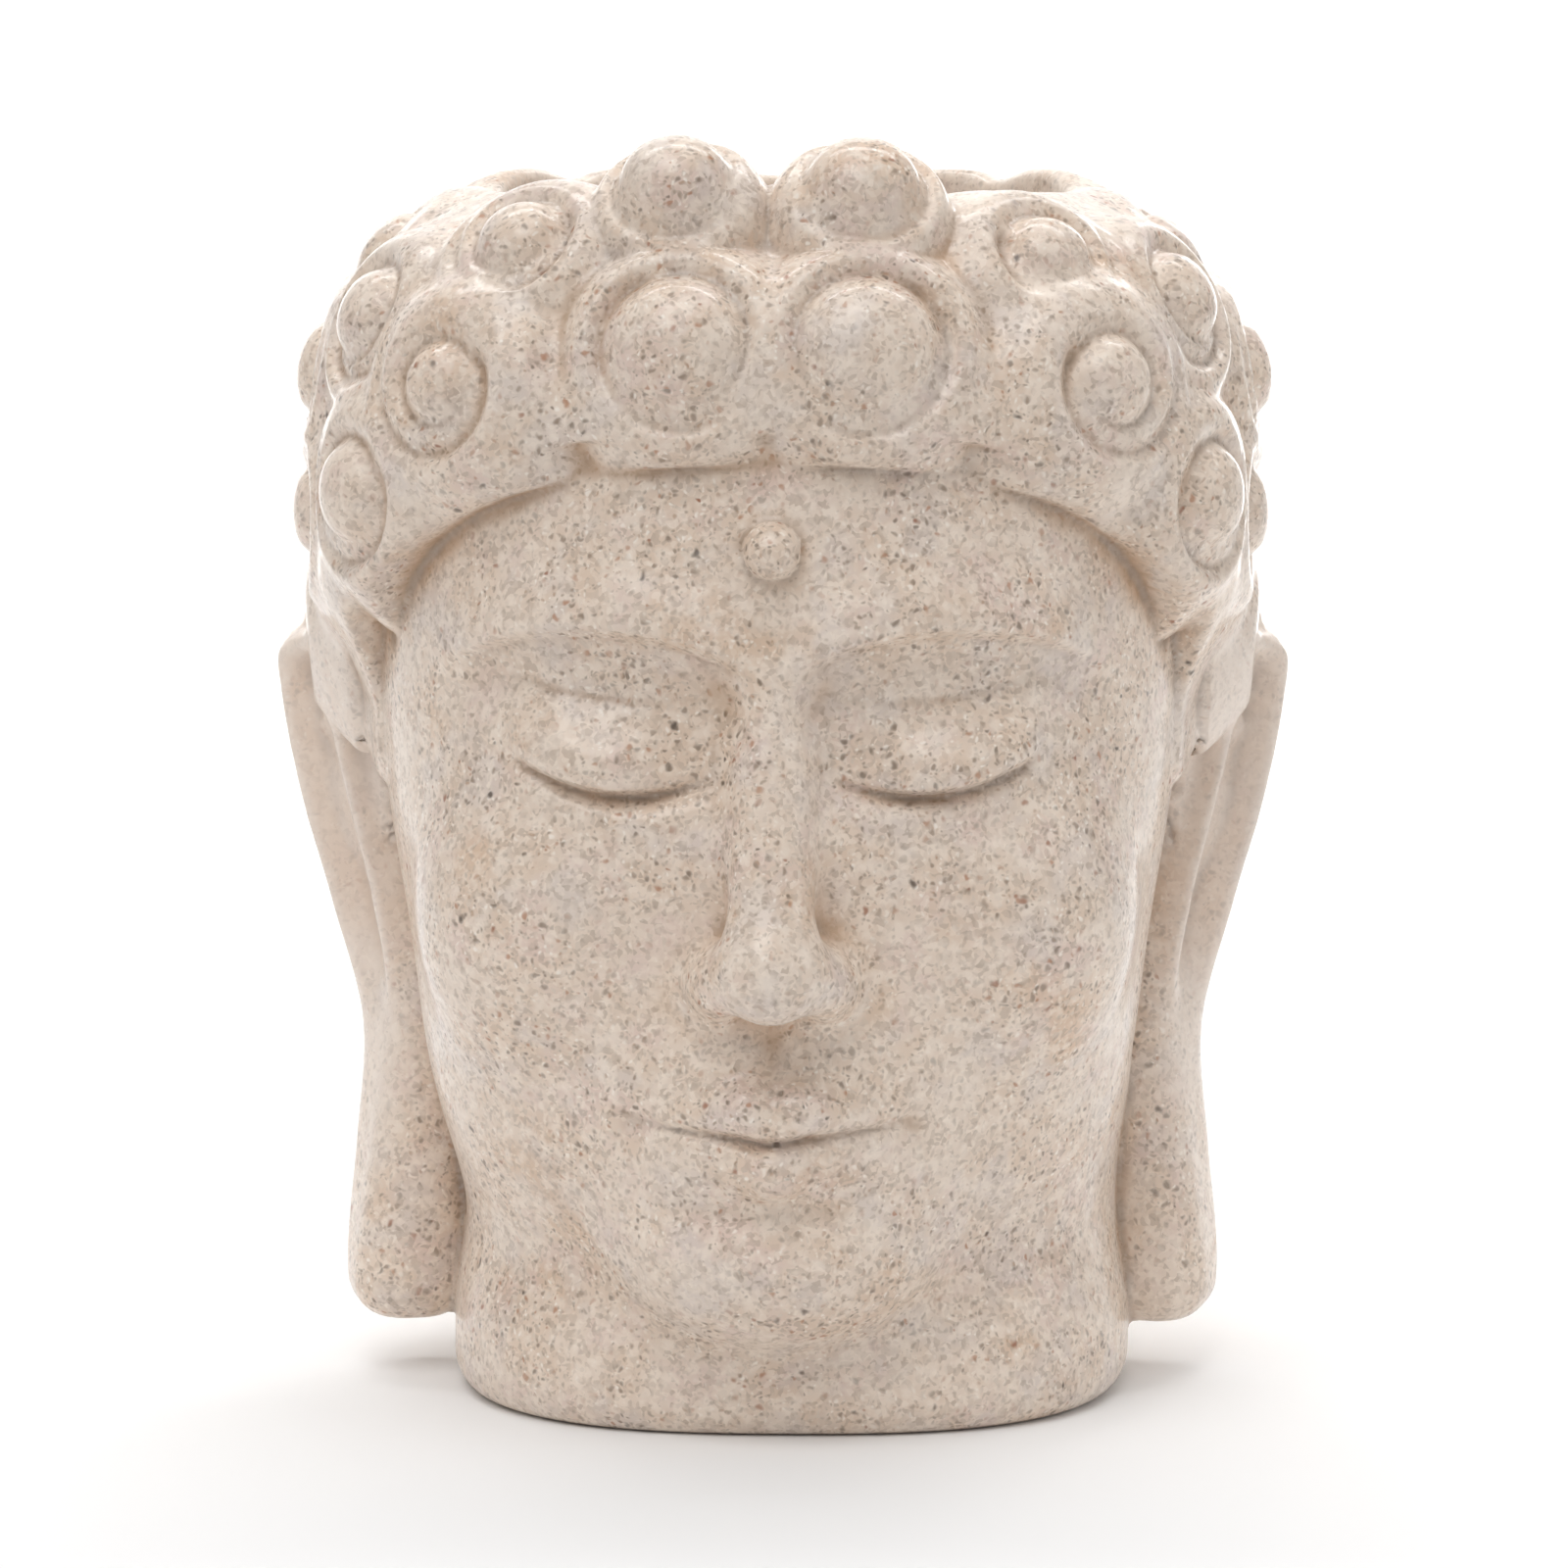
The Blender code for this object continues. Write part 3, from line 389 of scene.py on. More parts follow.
# Loose grains: cell, radius, what a cell holds by its share (start, colour, opacity), offset of the pattern
GRAIN_SIZES = (0.6, 1.1)
GRAIN_EDGE = (0.4, 1.5, 1.0, 0.0)
BARE = (0.0, CREAM, 0.0)
LOOSE_GRAINS = (
    (
        0.00062,
        0.00021,
        (
            BARE,
            (0.30, linear(254, 246, 236), 0.65),
            (0.52, linear(164, 144, 126), 0.7),
            (0.74, linear(138, 118, 100), 0.6),
            (0.88, linear(176, 140, 112), 0.6),
        ),
        (0.37, 0.29, 0.19),
    ),
    (
        0.00105,
        0.00031,
        (
            BARE,
            (0.08, linear(150, 130, 113), 0.8),
            (0.44, linear(116, 98, 82), 0.75),
            (0.68, linear(172, 114, 76), 0.7),
            (0.82, linear(246, 232, 217), 0.6),
        ),
        (0.53, 0.67, 0.41),
    ),
    (
        0.0027,
        0.00036,
        (
            BARE,
            (0.40, linear(80, 66, 56), 0.9),
            (0.68, linear(152, 92, 60), 0.8),
        ),
        (0.83, 0.91, 0.79),
    ),
)


def length(*parts):
    return np.sqrt(sum(part * part for part in parts))


def ellipsoid(p, centre, radii):
    q = [(a - c) / r for a, c, r in zip(p, centre, radii)]
    inner = length(*q)
    outer = length(*[a / r for a, r in zip(q, radii)])
    return inner * (inner - 1.0) / np.maximum(outer, LEAST_LENGTH)


def rod(p, start, end, start_radius, end_radius):
    start = np.array(start, float)
    along = np.array(end, float) - start
    share = sum((a - s) * d for a, s, d in zip(p, start, along)) / (along @ along)
    share = np.clip(share, 0.0, 1.0)
    gap = [a - s - share * d for a, s, d in zip(p, start, along)]
    return length(*gap) - (start_radius + share * (end_radius - start_radius))


def join(a, b, soft):
    """Either form, filled in where they meet, a quarter of soft deep at most."""
    near = np.maximum(soft - np.abs(a - b), 0.0) / soft
    return np.minimum(a, b) - near * near * soft * 0.25


def keep_both(a, b, soft):
    """What lies in both forms."""
    return -join(-a, -b, soft)


def cut(a, b, soft):
    """The first form without the second."""
    return -join(-a, b, soft)


def rounded_corner(a, b, radius):
    """The meeting of two faces, a and b outside of each, with its edge rounded."""
    a = a + radius
    b = b + radius
    return np.minimum(np.maximum(a, b), 0.0) + length(np.maximum(a, 0.0), np.maximum(b, 0.0)) - radius


def step(value, low, high):
    """An eased rise from 0 at low to 1 at high."""
    t = np.clip((value - low) / (high - low), 0.0, 1.0)
    return t * t * (3.0 - 2.0 * t)


def hump(value, centre, width):
    """A bell of height 1 over its centre."""
    return np.exp(-(((value - centre) / width) ** 2))


def egg(p, centre, radii, plan_power, rise_power):
    """Superellipsoid, as the distance along the ray from its centre."""
    x, y, z = [a - c for a, c in zip(p, centre)]
    plan = (np.abs(x / radii[0]) ** plan_power + np.abs(y / radii[1]) ** plan_power) ** (1.0 / plan_power)
    full = (plan**rise_power + np.abs(z / radii[2]) ** rise_power) ** (1.0 / rise_power)
    return length(x, y, z) * (1.0 - 1.0 / np.maximum(full, LEAST_LENGTH))


def mirrored(p):
    """The point with its distance from the middle plane in place of x, rounded at the middle."""
    return np.sqrt(p[0] * p[0] + MIDDLE_ROUNDING), p[1], p[2]


def along_keys(z, heights, values):
    """A row of values at heights, eased from one to the next."""
    heights = np.array(heights)
    values = np.array(values)
    slopes = np.gradient(values, heights)
    i = np.clip(np.searchsorted(heights, z) - 1, 0, len(heights) - 2)
    gap = heights[i + 1] - heights[i]
    t = np.clip((z - heights[i]) / gap, 0.0, 1.0)
    ends = (2 * t**3 - 3 * t**2 + 1) * values[i] + (3 * t**2 - 2 * t**3) * values[i + 1]
    bends = (t**3 - 2 * t**2 + t) * slopes[i] + (t**3 - t**2) * slopes[i + 1]
    return ends + bends * gap


def skull(p):
    crown = egg(p, SKULL_CENTRE, SKULL_SIZE, SKULL_PLAN, SKULL_CROWN)
    nape = egg(p, SKULL_CENTRE, (SKULL_SIZE[0], SKULL_SIZE[1], SKULL_DROP), SKULL_PLAN, SKULL_NAPE)
    return np.where(p[2] > SKULL_CENTRE[2], crown, nape)


def hairline(p):
    """The room of the face, cut out of the hair square to its surface."""
    x, y, z = mirrored(p)
    sweep = np.degrees(np.arctan2(x, SKULL_CENTRE[1] - y)) / HAIRLINE_HALF_SWEEP
    rise = np.abs(z - HAIRLINE_MIDDLE) / HAIRLINE_HALF_HEIGHT
    arch = (sweep**HAIRLINE_POWER + rise**HAIRLINE_POWER) ** (1.0 / HAIRLINE_POWER)
    return (arch - 1.0) * HAIRLINE_HALF_HEIGHT


def ear_place(p):
    """Distance along the ear's breadth, and outwards from its middle layer."""
    x, y, z = mirrored(p)
    turn = np.radians(along_keys(z, EAR_HEIGHTS, EAR_TURN))
    across = x - along_keys(z, EAR_HEIGHTS, EAR_ACROSS)
    back = y - along_keys(z, EAR_HEIGHTS, EAR_BACK)
    along = across * np.sin(turn) + back * np.cos(turn)
    outward = across * np.cos(turn) - back * np.sin(turn)
    return along, outward


def room_over_ear(p):
    """The room before the ear, which the side hair leaves along a slant."""
    forward = np.maximum(EAR_ROOM_FRONT - p[1], 0.0)
    slant = p[2] - EAR_ROOM_TOP + EAR_ROOM_FALL * forward
    _, outward = ear_place(p)
    return keep_both(slant, -(outward + EAR_ROOM_GAP), HEAD_SOFTNESS)


def room_without_hair(p):
    """The face's opening and the room before the ear, meeting in a round corner at the temple."""
    return join(hairline(p), room_over_ear(p), TEMPLE_ROUNDING)


def hair_layer(p):
    _, y, z = p
    thinning = TEMPLE_THINNING * step(TEMPLE_TOP - z, 0.0, TEMPLE_FADE) * step(-y, *TEMPLE_FRONT)
    return keep_both(skull(p) + thinning, HAIR_END - z, HAIR_END_SOFTNESS)


def curl_relief(right, up, radius, height, dome_share, start, turn):
    """Height of a curl over the hair: a flat mound with a dome and a groove that winds out round it."""
    from_middle = length(right, up + DOME_DROP)
    wound = np.mod(turn * (np.arctan2(up + DOME_DROP, right) / (2.0 * pi) - start / 360.0), 1.0)
    dome_reach = radius * dome_share
    dome = DOME_RISE * dome_reach * np.clip(1.0 - (from_middle / dome_reach) ** 2, 0.0, 1.0)
    mound = (height - DOME_RISE * dome_reach) * (1.0 - (length(right, up) / radius) ** MOUND_POWER)
    ring = (radius + dome_reach) / 2.0
    lip = CURL_LIP * hump(from_middle, ring, (radius - dome_reach) / 3.0)
    arm = dome_reach + (SPIRAL_END * radius - dome_reach) * wound
    depth = step(wound, 0.0, SPIRAL_FULL) * (1.0 - step(wound, *SPIRAL_FADE))
    winding = depth * hump(from_middle, arm, CURL_GROOVE_WIDTH)
    around = DOME_GROOVE_SHARE * hump(from_middle, dome_reach, CURL_GROOVE_WIDTH)
    return mound + dome + lip - CURL_GROOVE * np.maximum(winding, around)


def aim(azimuth, elevation):
    a = radians(azimuth)
    e = radians(elevation)
    return np.array((sin(a) * cos(e), -cos(a) * cos(e), sin(e)))


def curl_seat(azimuth, elevation):
    """Where a ray from the skull's centre leaves the skull, with the surface's directions there."""
    ray = aim(azimuth, elevation)
    low = 0.0
    high = 2.0 * SKULL_DROP
    for _ in range(SEAT_HALVINGS):
        middle = (low + high) / 2.0
        inside = skull([np.array([c + middle * d]) for c, d in zip(SKULL_CENTRE, ray)])[0] < 0.0
        low, high = (middle, high) if inside else (low, middle)
    seat = np.array(SKULL_CENTRE) + low * ray
    slope = np.zeros(3)
    for axis in range(3):
        nudge = np.zeros(3)
        nudge[axis] = SEAT_NUDGE
        ahead = skull([np.array([v]) for v in seat + nudge])[0]
        behind = skull([np.array([v]) for v in seat - nudge])[0]
        slope[axis] = ahead - behind
    rise = min(np.arcsin(slope[2] / np.linalg.norm(slope)), radians(STEEPEST_CURL))
    flat = slope[:2] / np.linalg.norm(slope[:2])
    outward = np.array((flat[0] * cos(rise), flat[1] * cos(rise), sin(rise)))
    right = np.cross((0.0, 0.0, 1.0), outward)
    right /= np.linalg.norm(right)
    return seat, right, np.cross(outward, right)


def all_curls():
    curls = list(FRONT_CURLS)
    for (elevation, sweep, height), count in zip(BACK_ROWS, BACK_ROW_COUNTS):
        for i in range(count):
            azimuth = BACK_MIDDLE - sweep + 2.0 * sweep * i / (count - 1)
            winding = RIGHT_WINDING if azimuth > BACK_MIDDLE else LEFT_WINDING
            curls.append((azimuth, elevation, BACK_CURL_RADIUS, height, BACK_DOME_SHARE, *winding))
    return [(*curl_seat(azimuth, elevation), *rest) for azimuth, elevation, *rest in curls]


def hair_roll(p):
    """The thicker edge of the hair over the forehead."""
    return HAIR_ROLL * hump(hairline(p), HAIR_ROLL_PLACE, HAIR_ROLL_WIDTH) * step(p[2], *HAIR_ROLL_START)


def hair(p, curls):
    form = hair_layer(p) - hair_roll(p)
    room = room_without_hair(p)
    near = (np.abs(form) < FAR) & (room > -FAR)
    q = [c[near] for c in p]
    skin = skull(q)
    grown = np.full(skin.shape, FAR)
    for seat, right, up, radius, *shape in curls:
        away = [a - b for a, b in zip(q, seat)]
        reach = length(*away) < radius * CURL_REACH
        if not reach.any():
            continue
        away = [a[reach] for a in away]
        to_right = sum(a * b for a, b in zip(away, right))
        upward = sum(a * b for a, b in zip(away, up))
        own = skin[reach] - curl_relief(to_right, upward, radius, *shape)
        grown[reach] = join(grown[reach], own, CURL_BLEND)
    form = cut(form, room, HAIR_EDGE_SOFTNESS)
    curled = cut(grown, room[near] + CURLS_OVER_HAIRLINE, CURL_EDGE_SOFTNESS)
    form[near] = join(form[near], curled, CURL_BLEND)
    return form


def head_under_hair(p):
    over = np.where(p[2] > UNDER_CROWN[0][2], egg(p, *UNDER_CROWN), egg(p, *UNDER_SIDES))
    return join(over, egg(p, *UNDER_NAPE), NAPE_SOFTNESS)


def face(p):
    m = mirrored(p)
    form = join(egg(p, *BROAD_FACE), egg(p, *JAW), JAW_SOFTNESS)
    for centre, radii, soft in (CHEEK, MUZZLE, CHIN):
        form = join(form, ellipsoid(m, centre, radii), soft)
    form = cut(form, ellipsoid(m, *EYE_SOCKET[:2]), EYE_SOCKET[2])
    form = join(form, ellipsoid(m, *EYEBALL[:2]), EYEBALL[2])
    form = join(form, rod(p, *NOSE_BRIDGE[:4]), NOSE_BRIDGE[4])
    for centre, radii, soft in (NOSE_TIP, NOSE_WING):
        form = join(form, ellipsoid(m, centre, radii), soft)
    form = cut(form, ellipsoid(m, *NOSTRIL[:2]), NOSTRIL[2])
    upper_lip = join(rod(m, *UPPER_LIP[:4]), ellipsoid(p, *LIP_MIDDLE[:2]), LIP_MIDDLE[2])
    form = join(form, upper_lip, UPPER_LIP[4])
    return join(form, rod(m, *LOWER_LIP[:4]), LOWER_LIP[4])


def brow_relief(x, z):
    """A brow with a crisp edge below that fades up into the forehead, and the dip under it."""
    foot, rise, middle, half_sweep = BROW_ARCH
    arch = foot + rise * np.sqrt(np.clip(1.0 - ((x - middle) / half_sweep) ** 2, 0.0, 1.0))
    height, under, over, top = BROW_EDGE
    crisp = height * step(z, arch + under, arch + over) * (1.0 - step(z, arch + over, arch + top))
    depth, drop, width = BROW_DIP
    fade = step(x, *BROW_INNER_END) * (1.0 - step(x, *BROW_OUTER_END))
    return (crisp - depth * hump(z, arch - drop, width)) * fade


def lid_relief(x, z):
    """Closed lids: the upper one stands over the lower along the lashes."""
    across = (x - LID_MIDDLE) / LID_HALF_WIDTH
    round_ends = np.clip(1.0 - across**2, 0.0, 1.0) ** LID_END_POWER
    height, slant, sag = LASH_LINE
    above = z - (height + slant * across - sag * np.clip(1.0 - across**2, -1.0, 1.0))
    height, under, over, fade, top = LID_EDGE
    relief = height * step(above, under, over) * (1.0 - step(above, fade, top))
    for place, width, height in LID_LINES:
        relief = relief + height * hump(above, place, width)
    place, bend, width, height = LID_CREASE
    relief = relief + height * hump(above, place - bend * across**2, width)
    return relief * round_ends


def mouth_relief(x, z):
    depth, width, start, full, fade, top = LIP_GROOVE
    relief = -depth * hump(x, 0.0, width) * step(z, start, full) * (1.0 - step(z, fade, top))
    height, dip, dip_width, curve = LIP_PARTING
    parting = height - dip * hump(x, 0.0, dip_width) + curve * x**2
    depth, width, fade, end = LIP_LINE
    relief = relief - depth * hump(z, parting, width) * (1.0 - step(x, fade, end))
    depth, aside, height, width = LIP_CORNER
    relief = relief - depth * hump(length(x - aside, z - height), 0.0, width)
    depth, height, width, fade, end = CHIN_CREASE
    return relief - depth * hump(z, height, width) * (1.0 - step(x, fade, end))


def face_relief(p):
    x, y, z = mirrored(p)
    mark = length(p[0], p[2] - FACE_MARK_HEIGHT) / FACE_MARK_RADIUS
    mark = FACE_MARK_RELIEF * np.sqrt(np.clip(1.0 - mark**2, 0.0, 1.0))
    return (brow_relief(x, z) + lid_relief(x, z) + mouth_relief(x, z) + mark) * step(-y, *RELIEF_FADE)


def neck(p, unit):
    x, y, z = p
    half_width = NECK_WIDTH / 2.0 / unit[0]
    half_depth = NECK_DEPTH / 2.0 / unit[1]
    waist = step(z, *NECK_WAIST)
    across = (x - NECK_ASIDE / unit[0]) / (half_width - WAIST_NARROWING[0] * waist)
    back = (y - NECK_SET_BACK) / (half_depth - WAIST_NARROWING[1] * waist)
    plan = (np.abs(across) ** NECK_PLAN + np.abs(back) ** NECK_PLAN) ** (1.0 / NECK_PLAN)
    form = rounded_corner((plan - 1.0) * half_width, -z - FOOT_ALLOWANCE, NECK_ROUNDING / unit[2])
    return keep_both(form, z - NECK_TOP, HEAD_SOFTNESS)


def ear_gap(p):
    """The gap that parts the face from the front of the ear."""
    x, y, z = mirrored(p)
    across = (x - along_keys(z, EAR_HEIGHTS, EAR_ACROSS) - EAR_GAP_PLACE[0]) / EAR_GAP_SIZE[0]
    plan = (length(across, (y - EAR_GAP_PLACE[1]) / EAR_GAP_SIZE[1]) - 1.0) * EAR_GAP_SIZE[1]
    ends = np.abs(z - EAR_GAP_MIDDLE) - EAR_GAP_HALF_HEIGHT
    return rounded_corner(plan, ends, EAR_GAP_ROUNDING)


def ear_relief(along, outward, z, breadth):
    """Rims that run round the ear's edge, with a hollow inside of each, on the side that faces out."""
    top = EAR_MIDDLE + EAR_HALF_HEIGHT
    from_edge = -rounded_corner(along - breadth, z - top, EAR_CORNER)
    relief = sum(height * hump(from_edge, place, width) for place, width, height in EAR_RELIEF)
    return relief * step(z, *EAR_RELIEF_START) * step(outward, *EAR_RELIEF_SIDE)


def ear(p):
    x, y, z = mirrored(p)
    over_ear = EAR_MIDDLE + EAR_HALF_HEIGHT + EAR_MARGIN
    beside = (x > EAR_ACROSS[0] - EAR_MARGIN) & (np.abs(y - EAR_BACK[0]) < 2.0 * EAR_MARGIN)
    near = beside & (z < over_ear)
    form = np.full(x.shape, FAR)
    if not near.any():
        return form
    q = [c[near] for c in p]
    z = q[2]
    along, outward = ear_place(q)
    thick = along_keys(z, EAR_HEIGHTS, EAR_HALF_THICK)
    breadth = along_keys(z, EAR_HEIGHTS, EAR_HALF_BREADTH)
    plan = rounded_corner(np.abs(along) - breadth, np.abs(outward) - thick, EAR_ROUNDING * thick)
    slab = rounded_corner(plan, np.abs(z - EAR_MIDDLE) - EAR_HALF_HEIGHT, EAR_END_EDGE)
    form[near] = slab - ear_relief(along, outward, z, breadth)
    return form


def head(p, curls, unit):
    form = join(face(p) - face_relief(p), head_under_hair(p), HEAD_SOFTNESS)
    form = cut(form, ear_gap(p), EAR_GAP_SOFTNESS)
    form = join(form, neck(p, unit), HEAD_SOFTNESS)
    form = join(form, hair(p, curls), HAIR_EDGE_SOFTNESS)
    return join(form, ear(p), EAR_SOFTNESS)


def enlarged(values, ratio):
    """The grid with ratio times the points along each axis, worked out in straight lines between."""
    for axis in range(3):
        count = (values.shape[axis] - 1) * ratio + 1
        place = np.arange(count) / ratio
        i = np.minimum(place.astype(int), values.shape[axis] - 2)
        shape = [1, 1, 1]
        shape[axis] = -1
        share = (place - i).reshape(shape)
        values = np.take(values, i, axis) * (1.0 - share) + np.take(values, i + 1, axis) * share
    return values


def carved_points(form, spacing):
    """The surface of a form as points and four-sided faces, worked out finely only where it is near."""
    ratio = round(COARSE_SPACING / spacing)
    coarse = spacing * ratio
    tallest = max(curl[3] for curl in FRONT_CURLS)
    reach = [SKULL_SIZE[k] + tallest for k in range(3)]
    low = np.array((-reach[0], SKULL_CENTRE[1] - reach[1], 0.0)) - GRID_MARGIN
    high = np.array((reach[0], SKULL_CENTRE[1] + reach[1], SKULL_CENTRE[2] + reach[2])) + GRID_MARGIN
    counts = np.ceil((high - low) / coarse).astype(int) + 1
    axes = [low[k] + coarse * np.arange(counts[k]) for k in range(3)]
    values = enlarged(form(np.meshgrid(*axes, indexing="ij")), ratio)
    near = np.abs(values) < SURFACE_BAND * coarse
    places = np.nonzero(near)
    values[near] = form([low[k] + spacing * places[k] for k in range(3)])
    grid = openvdb.FloatGrid(GRID_OUTSIDE)
    grid.copyFromArray(values.astype(np.float32))
    points, faces = grid.convertToQuads(0.0)
    points = points * spacing + low
    for _ in range(SURFACE_PASSES):
        points = onto_surface(form, points)
    return points, faces


def onto_surface(form, points):
    """The points moved along the form's slope to where it is naught."""
    here = [points[:, k] for k in range(3)]
    value = form(here)
    slope = np.zeros(points.shape)
    for k in range(3):
        beside = [c.copy() for c in here]
        beside[k] += SLOPE_STEP
        slope[:, k] = (form(beside) - value) / SLOPE_STEP
    size = np.maximum((slope**2).sum(axis=1), LEAST_SLOPE)
    return points - np.clip(value / size, -1.0, 1.0)[:, None] * slope


def well_room(p, unit, set_back):
    """The tapered planting well with its rounded floor edge, and the drain hole through the floor."""
    x, y, z = p
    floor = FLOOR_THICKNESS / unit[2]
    floor_radius = WELL_FLOOR_DIAMETER / 2.0 / unit[0]
    mouth_radius = WELL_MOUTH_DIAMETER / 2.0 / unit[0]
    from_axis = length(x, y - set_back)
    wall = from_axis - floor_radius - (mouth_radius - floor_radius) * (z - floor) / (CARVED_HEIGHT - floor)
    well = rounded_corner(wall, floor - z, WELL_FILLET / unit[2])
    drain = keep_both(from_axis - DRAIN_HOLE_DIAMETER / 2.0 / unit[0], z - floor - DRAIN_OVERLAP, DRAIN_EDGE)
    return join(well, drain, DRAIN_ROUNDING)


def casting_form(p, curls, unit, set_back):
    form = cut(head(p, curls, unit), well_room(p, unit, set_back), LIP_ROUNDING)
    return keep_both(form, -p[2], FOOT_EDGE)


def middle_depth(curls, unit):
    """The middle of the head from front to back, in carving units, which the frame holds at y = 0."""
    points, _ = carved_points(lambda p: head(p, curls, unit), MIDDLE_SPACING)
    return (points[:, 1].min() + points[:, 1].max()) / 2.0


def cast_planter():
    unit = (HEAD_WIDTH / CARVED_WIDTH, HEAD_DEPTH / CARVED_DEPTH, HEAD_HEIGHT / CARVED_HEIGHT)
    curls = all_curls()
    middle = middle_depth(curls, unit)
    set_back = WELL_SET_BACK / unit[1] + middle
    spacing = GRID_SPACING
    points, faces = carved_points(lambda p: casting_form(p, curls, unit, set_back), spacing)
    points = (points - (0.0, middle, 0.0)) * np.array(unit)
    mesh = bpy.data.meshes.new("carved_head_planter")
    mesh.from_pydata(points.tolist(), [], faces.tolist())
    planter = bpy.data.objects.new("carved_head_planter", mesh)
    bpy.context.scene.collection.objects.link(planter)
    fewer = planter.modifiers.new("fewer", "DECIMATE")
    fewer.ratio = min(1.0, CASTING_TRIANGLES / (2.0 * len(faces)))
    graph = bpy.context.evaluated_depsgraph_get()
    finished = bpy.data.meshes.new_from_object(planter.evaluated_get(graph))
    planter.modifiers.clear()
    planter.data = finished
    finished.name = "carved_head_planter"
    finished.shade_smooth()
    # Depth under the smoothed form, which sets the painted shade in hollows and the painted highlight on
    # ridges
    mark_hollows(finished, "hollow", HOLLOW_REACH)
    mark_hollows(finished, "socket", SOCKET_REACH)
    return planter


def mark_hollows(mesh, name, smoothing):
    """Keeps on each point how far it lies under the form smoothed over a reach, in metres."""
    points = np.empty(3 * len(mesh.vertices))
    mesh.vertices.foreach_get("co", points)
    points = points.reshape(-1, 3)
    normals = np.empty(points.size)
    mesh.vertices.foreach_get("normal", normals)
    ends = np.empty(2 * len(mesh.edges), dtype=np.int64)
    mesh.edges.foreach_get("vertices", ends)
    start, end = ends.reshape(-1, 2).T
    reach = length(*(points[start] - points[end]).T).mean()
    neighbours = np.bincount(ends, minlength=len(points))[:, None]
    smoothed = points
    for _ in range(int((smoothing / reach) ** 2)):
        around = np.zeros(points.shape)
        for k in range(3):
            around[:, k] = np.bincount(start, smoothed[end, k], len(points))
            around[:, k] += np.bincount(end, smoothed[start, k], len(points))
        smoothed = around / neighbours
    depth = ((smoothed - points) * normals.reshape(-1, 3)).sum(axis=1)
    hollows = mesh.attributes.new(name, "FLOAT", "POINT")
    hollows.data.foreach_set("value", depth.astype(np.float32))


class Shading:
    """Adds nodes to a material and joins them, from left to right."""

    def __init__(self, material):
        self.tree = material.node_tree
        self.place = self.add("ShaderNodeTexCoord").outputs["Object"]

    def add(self, kind, **settings):
        node = self.tree.nodes.new(kind)
        for name, value in settings.items():
            setattr(node, name, value)
        return node

    def put(self, socket, value):
        if isinstance(value, bpy.types.NodeSocket):
            self.tree.links.new(value, socket)
        else:
            socket.default_value = value

    def noise(self, size, detail=2.0, roughness=0.5):
        """Soft noise whose blots are about size across."""
        node = self.add("ShaderNodeTexNoise")
        self.put(node.inputs["Vector"], self.place)
        self.put(node.inputs["Scale"], NOISE_BLOT / size)
        self.put(node.inputs["Detail"], detail)
        self.put(node.inputs["Roughness"], roughness)
        return node

    def moved(self, place, offset):
        node = self.add("ShaderNodeVectorMath", operation="ADD")
        self.put(node.inputs[0], place)
        self.put(node.inputs[1], offset)
        return node.outputs["Vector"]

    def stirred(self, size, amount):
        """The place, pushed about by a noise, so that grains aren't all round."""
        noise = self.noise(size, STIR_DETAIL)
        centred = self.add("ShaderNodeVectorMath", operation="SUBTRACT")
        self.put(centred.inputs[0], noise.outputs["Color"])
        self.put(centred.inputs[1], NOISE_MIDDLE)
        push = self.add("ShaderNodeVectorMath", operation="SCALE")
        self.put(push.inputs[0], centred.outputs["Vector"])
        self.put(push.inputs["Scale"], amount)
        return self.moved(push.outputs["Vector"], self.place)

    def ranged(self, value, low, high, to_low=0.0, to_high=1.0):
        node = self.add("ShaderNodeMapRange", interpolation_type="SMOOTHSTEP")
        self.put(node.inputs["Value"], value)
        self.put(node.inputs["From Min"], low)
        self.put(node.inputs["From Max"], high)
        self.put(node.inputs["To Min"], to_low)
        self.put(node.inputs["To Max"], to_high)
        return node.outputs["Result"]

    def maths(self, operation, a, b):
        node = self.add("ShaderNodeMath", operation=operation)
        self.put(node.inputs[0], a)
        self.put(node.inputs[1], b)
        return node.outputs["Value"]

    def mixed(self, share, a, b):
        node = self.add("ShaderNodeMix", data_type="RGBA")
        self.put(node.inputs["Factor"], share)
        self.put(node.inputs["A"], a)
        self.put(node.inputs["B"], b)
        return node.outputs["Result"]

    def kept(self, name):
        """The number that the mesh keeps on its points under a name."""
        return self.add("ShaderNodeAttribute", attribute_name=name).outputs["Fac"]

    def shares(self, colour):
        """The three channels of a colour."""
        node = self.add("ShaderNodeSeparateColor")
        self.put(node.inputs["Color"], colour)
        return node.outputs

    def cells(self, size, place):
        """Voronoi cells about size across: their distance and the three random shares of each cell."""
        node = self.add("ShaderNodeTexVoronoi")
        self.put(node.inputs["Vector"], place)
        self.put(node.inputs["Scale"], 1.0 / size)
        return node.outputs["Distance"], self.shares(node.outputs["Color"])

    def stepped(self, value, bands):
        """A colour for each band of the value: (start of the band, colour, opacity)."""
        node = self.add("ShaderNodeValToRGB")
        ramp = node.color_ramp
        ramp.interpolation = "CONSTANT"
        while len(ramp.elements) < len(bands):
            ramp.elements.new(1.0)
        for element, (start, colour, opacity) in zip(ramp.elements, bands):
            element.position = start
            element.color = (*colour[:3], opacity)
        self.put(node.inputs["Fac"], value)
        return node.outputs["Color"], node.outputs["Alpha"]


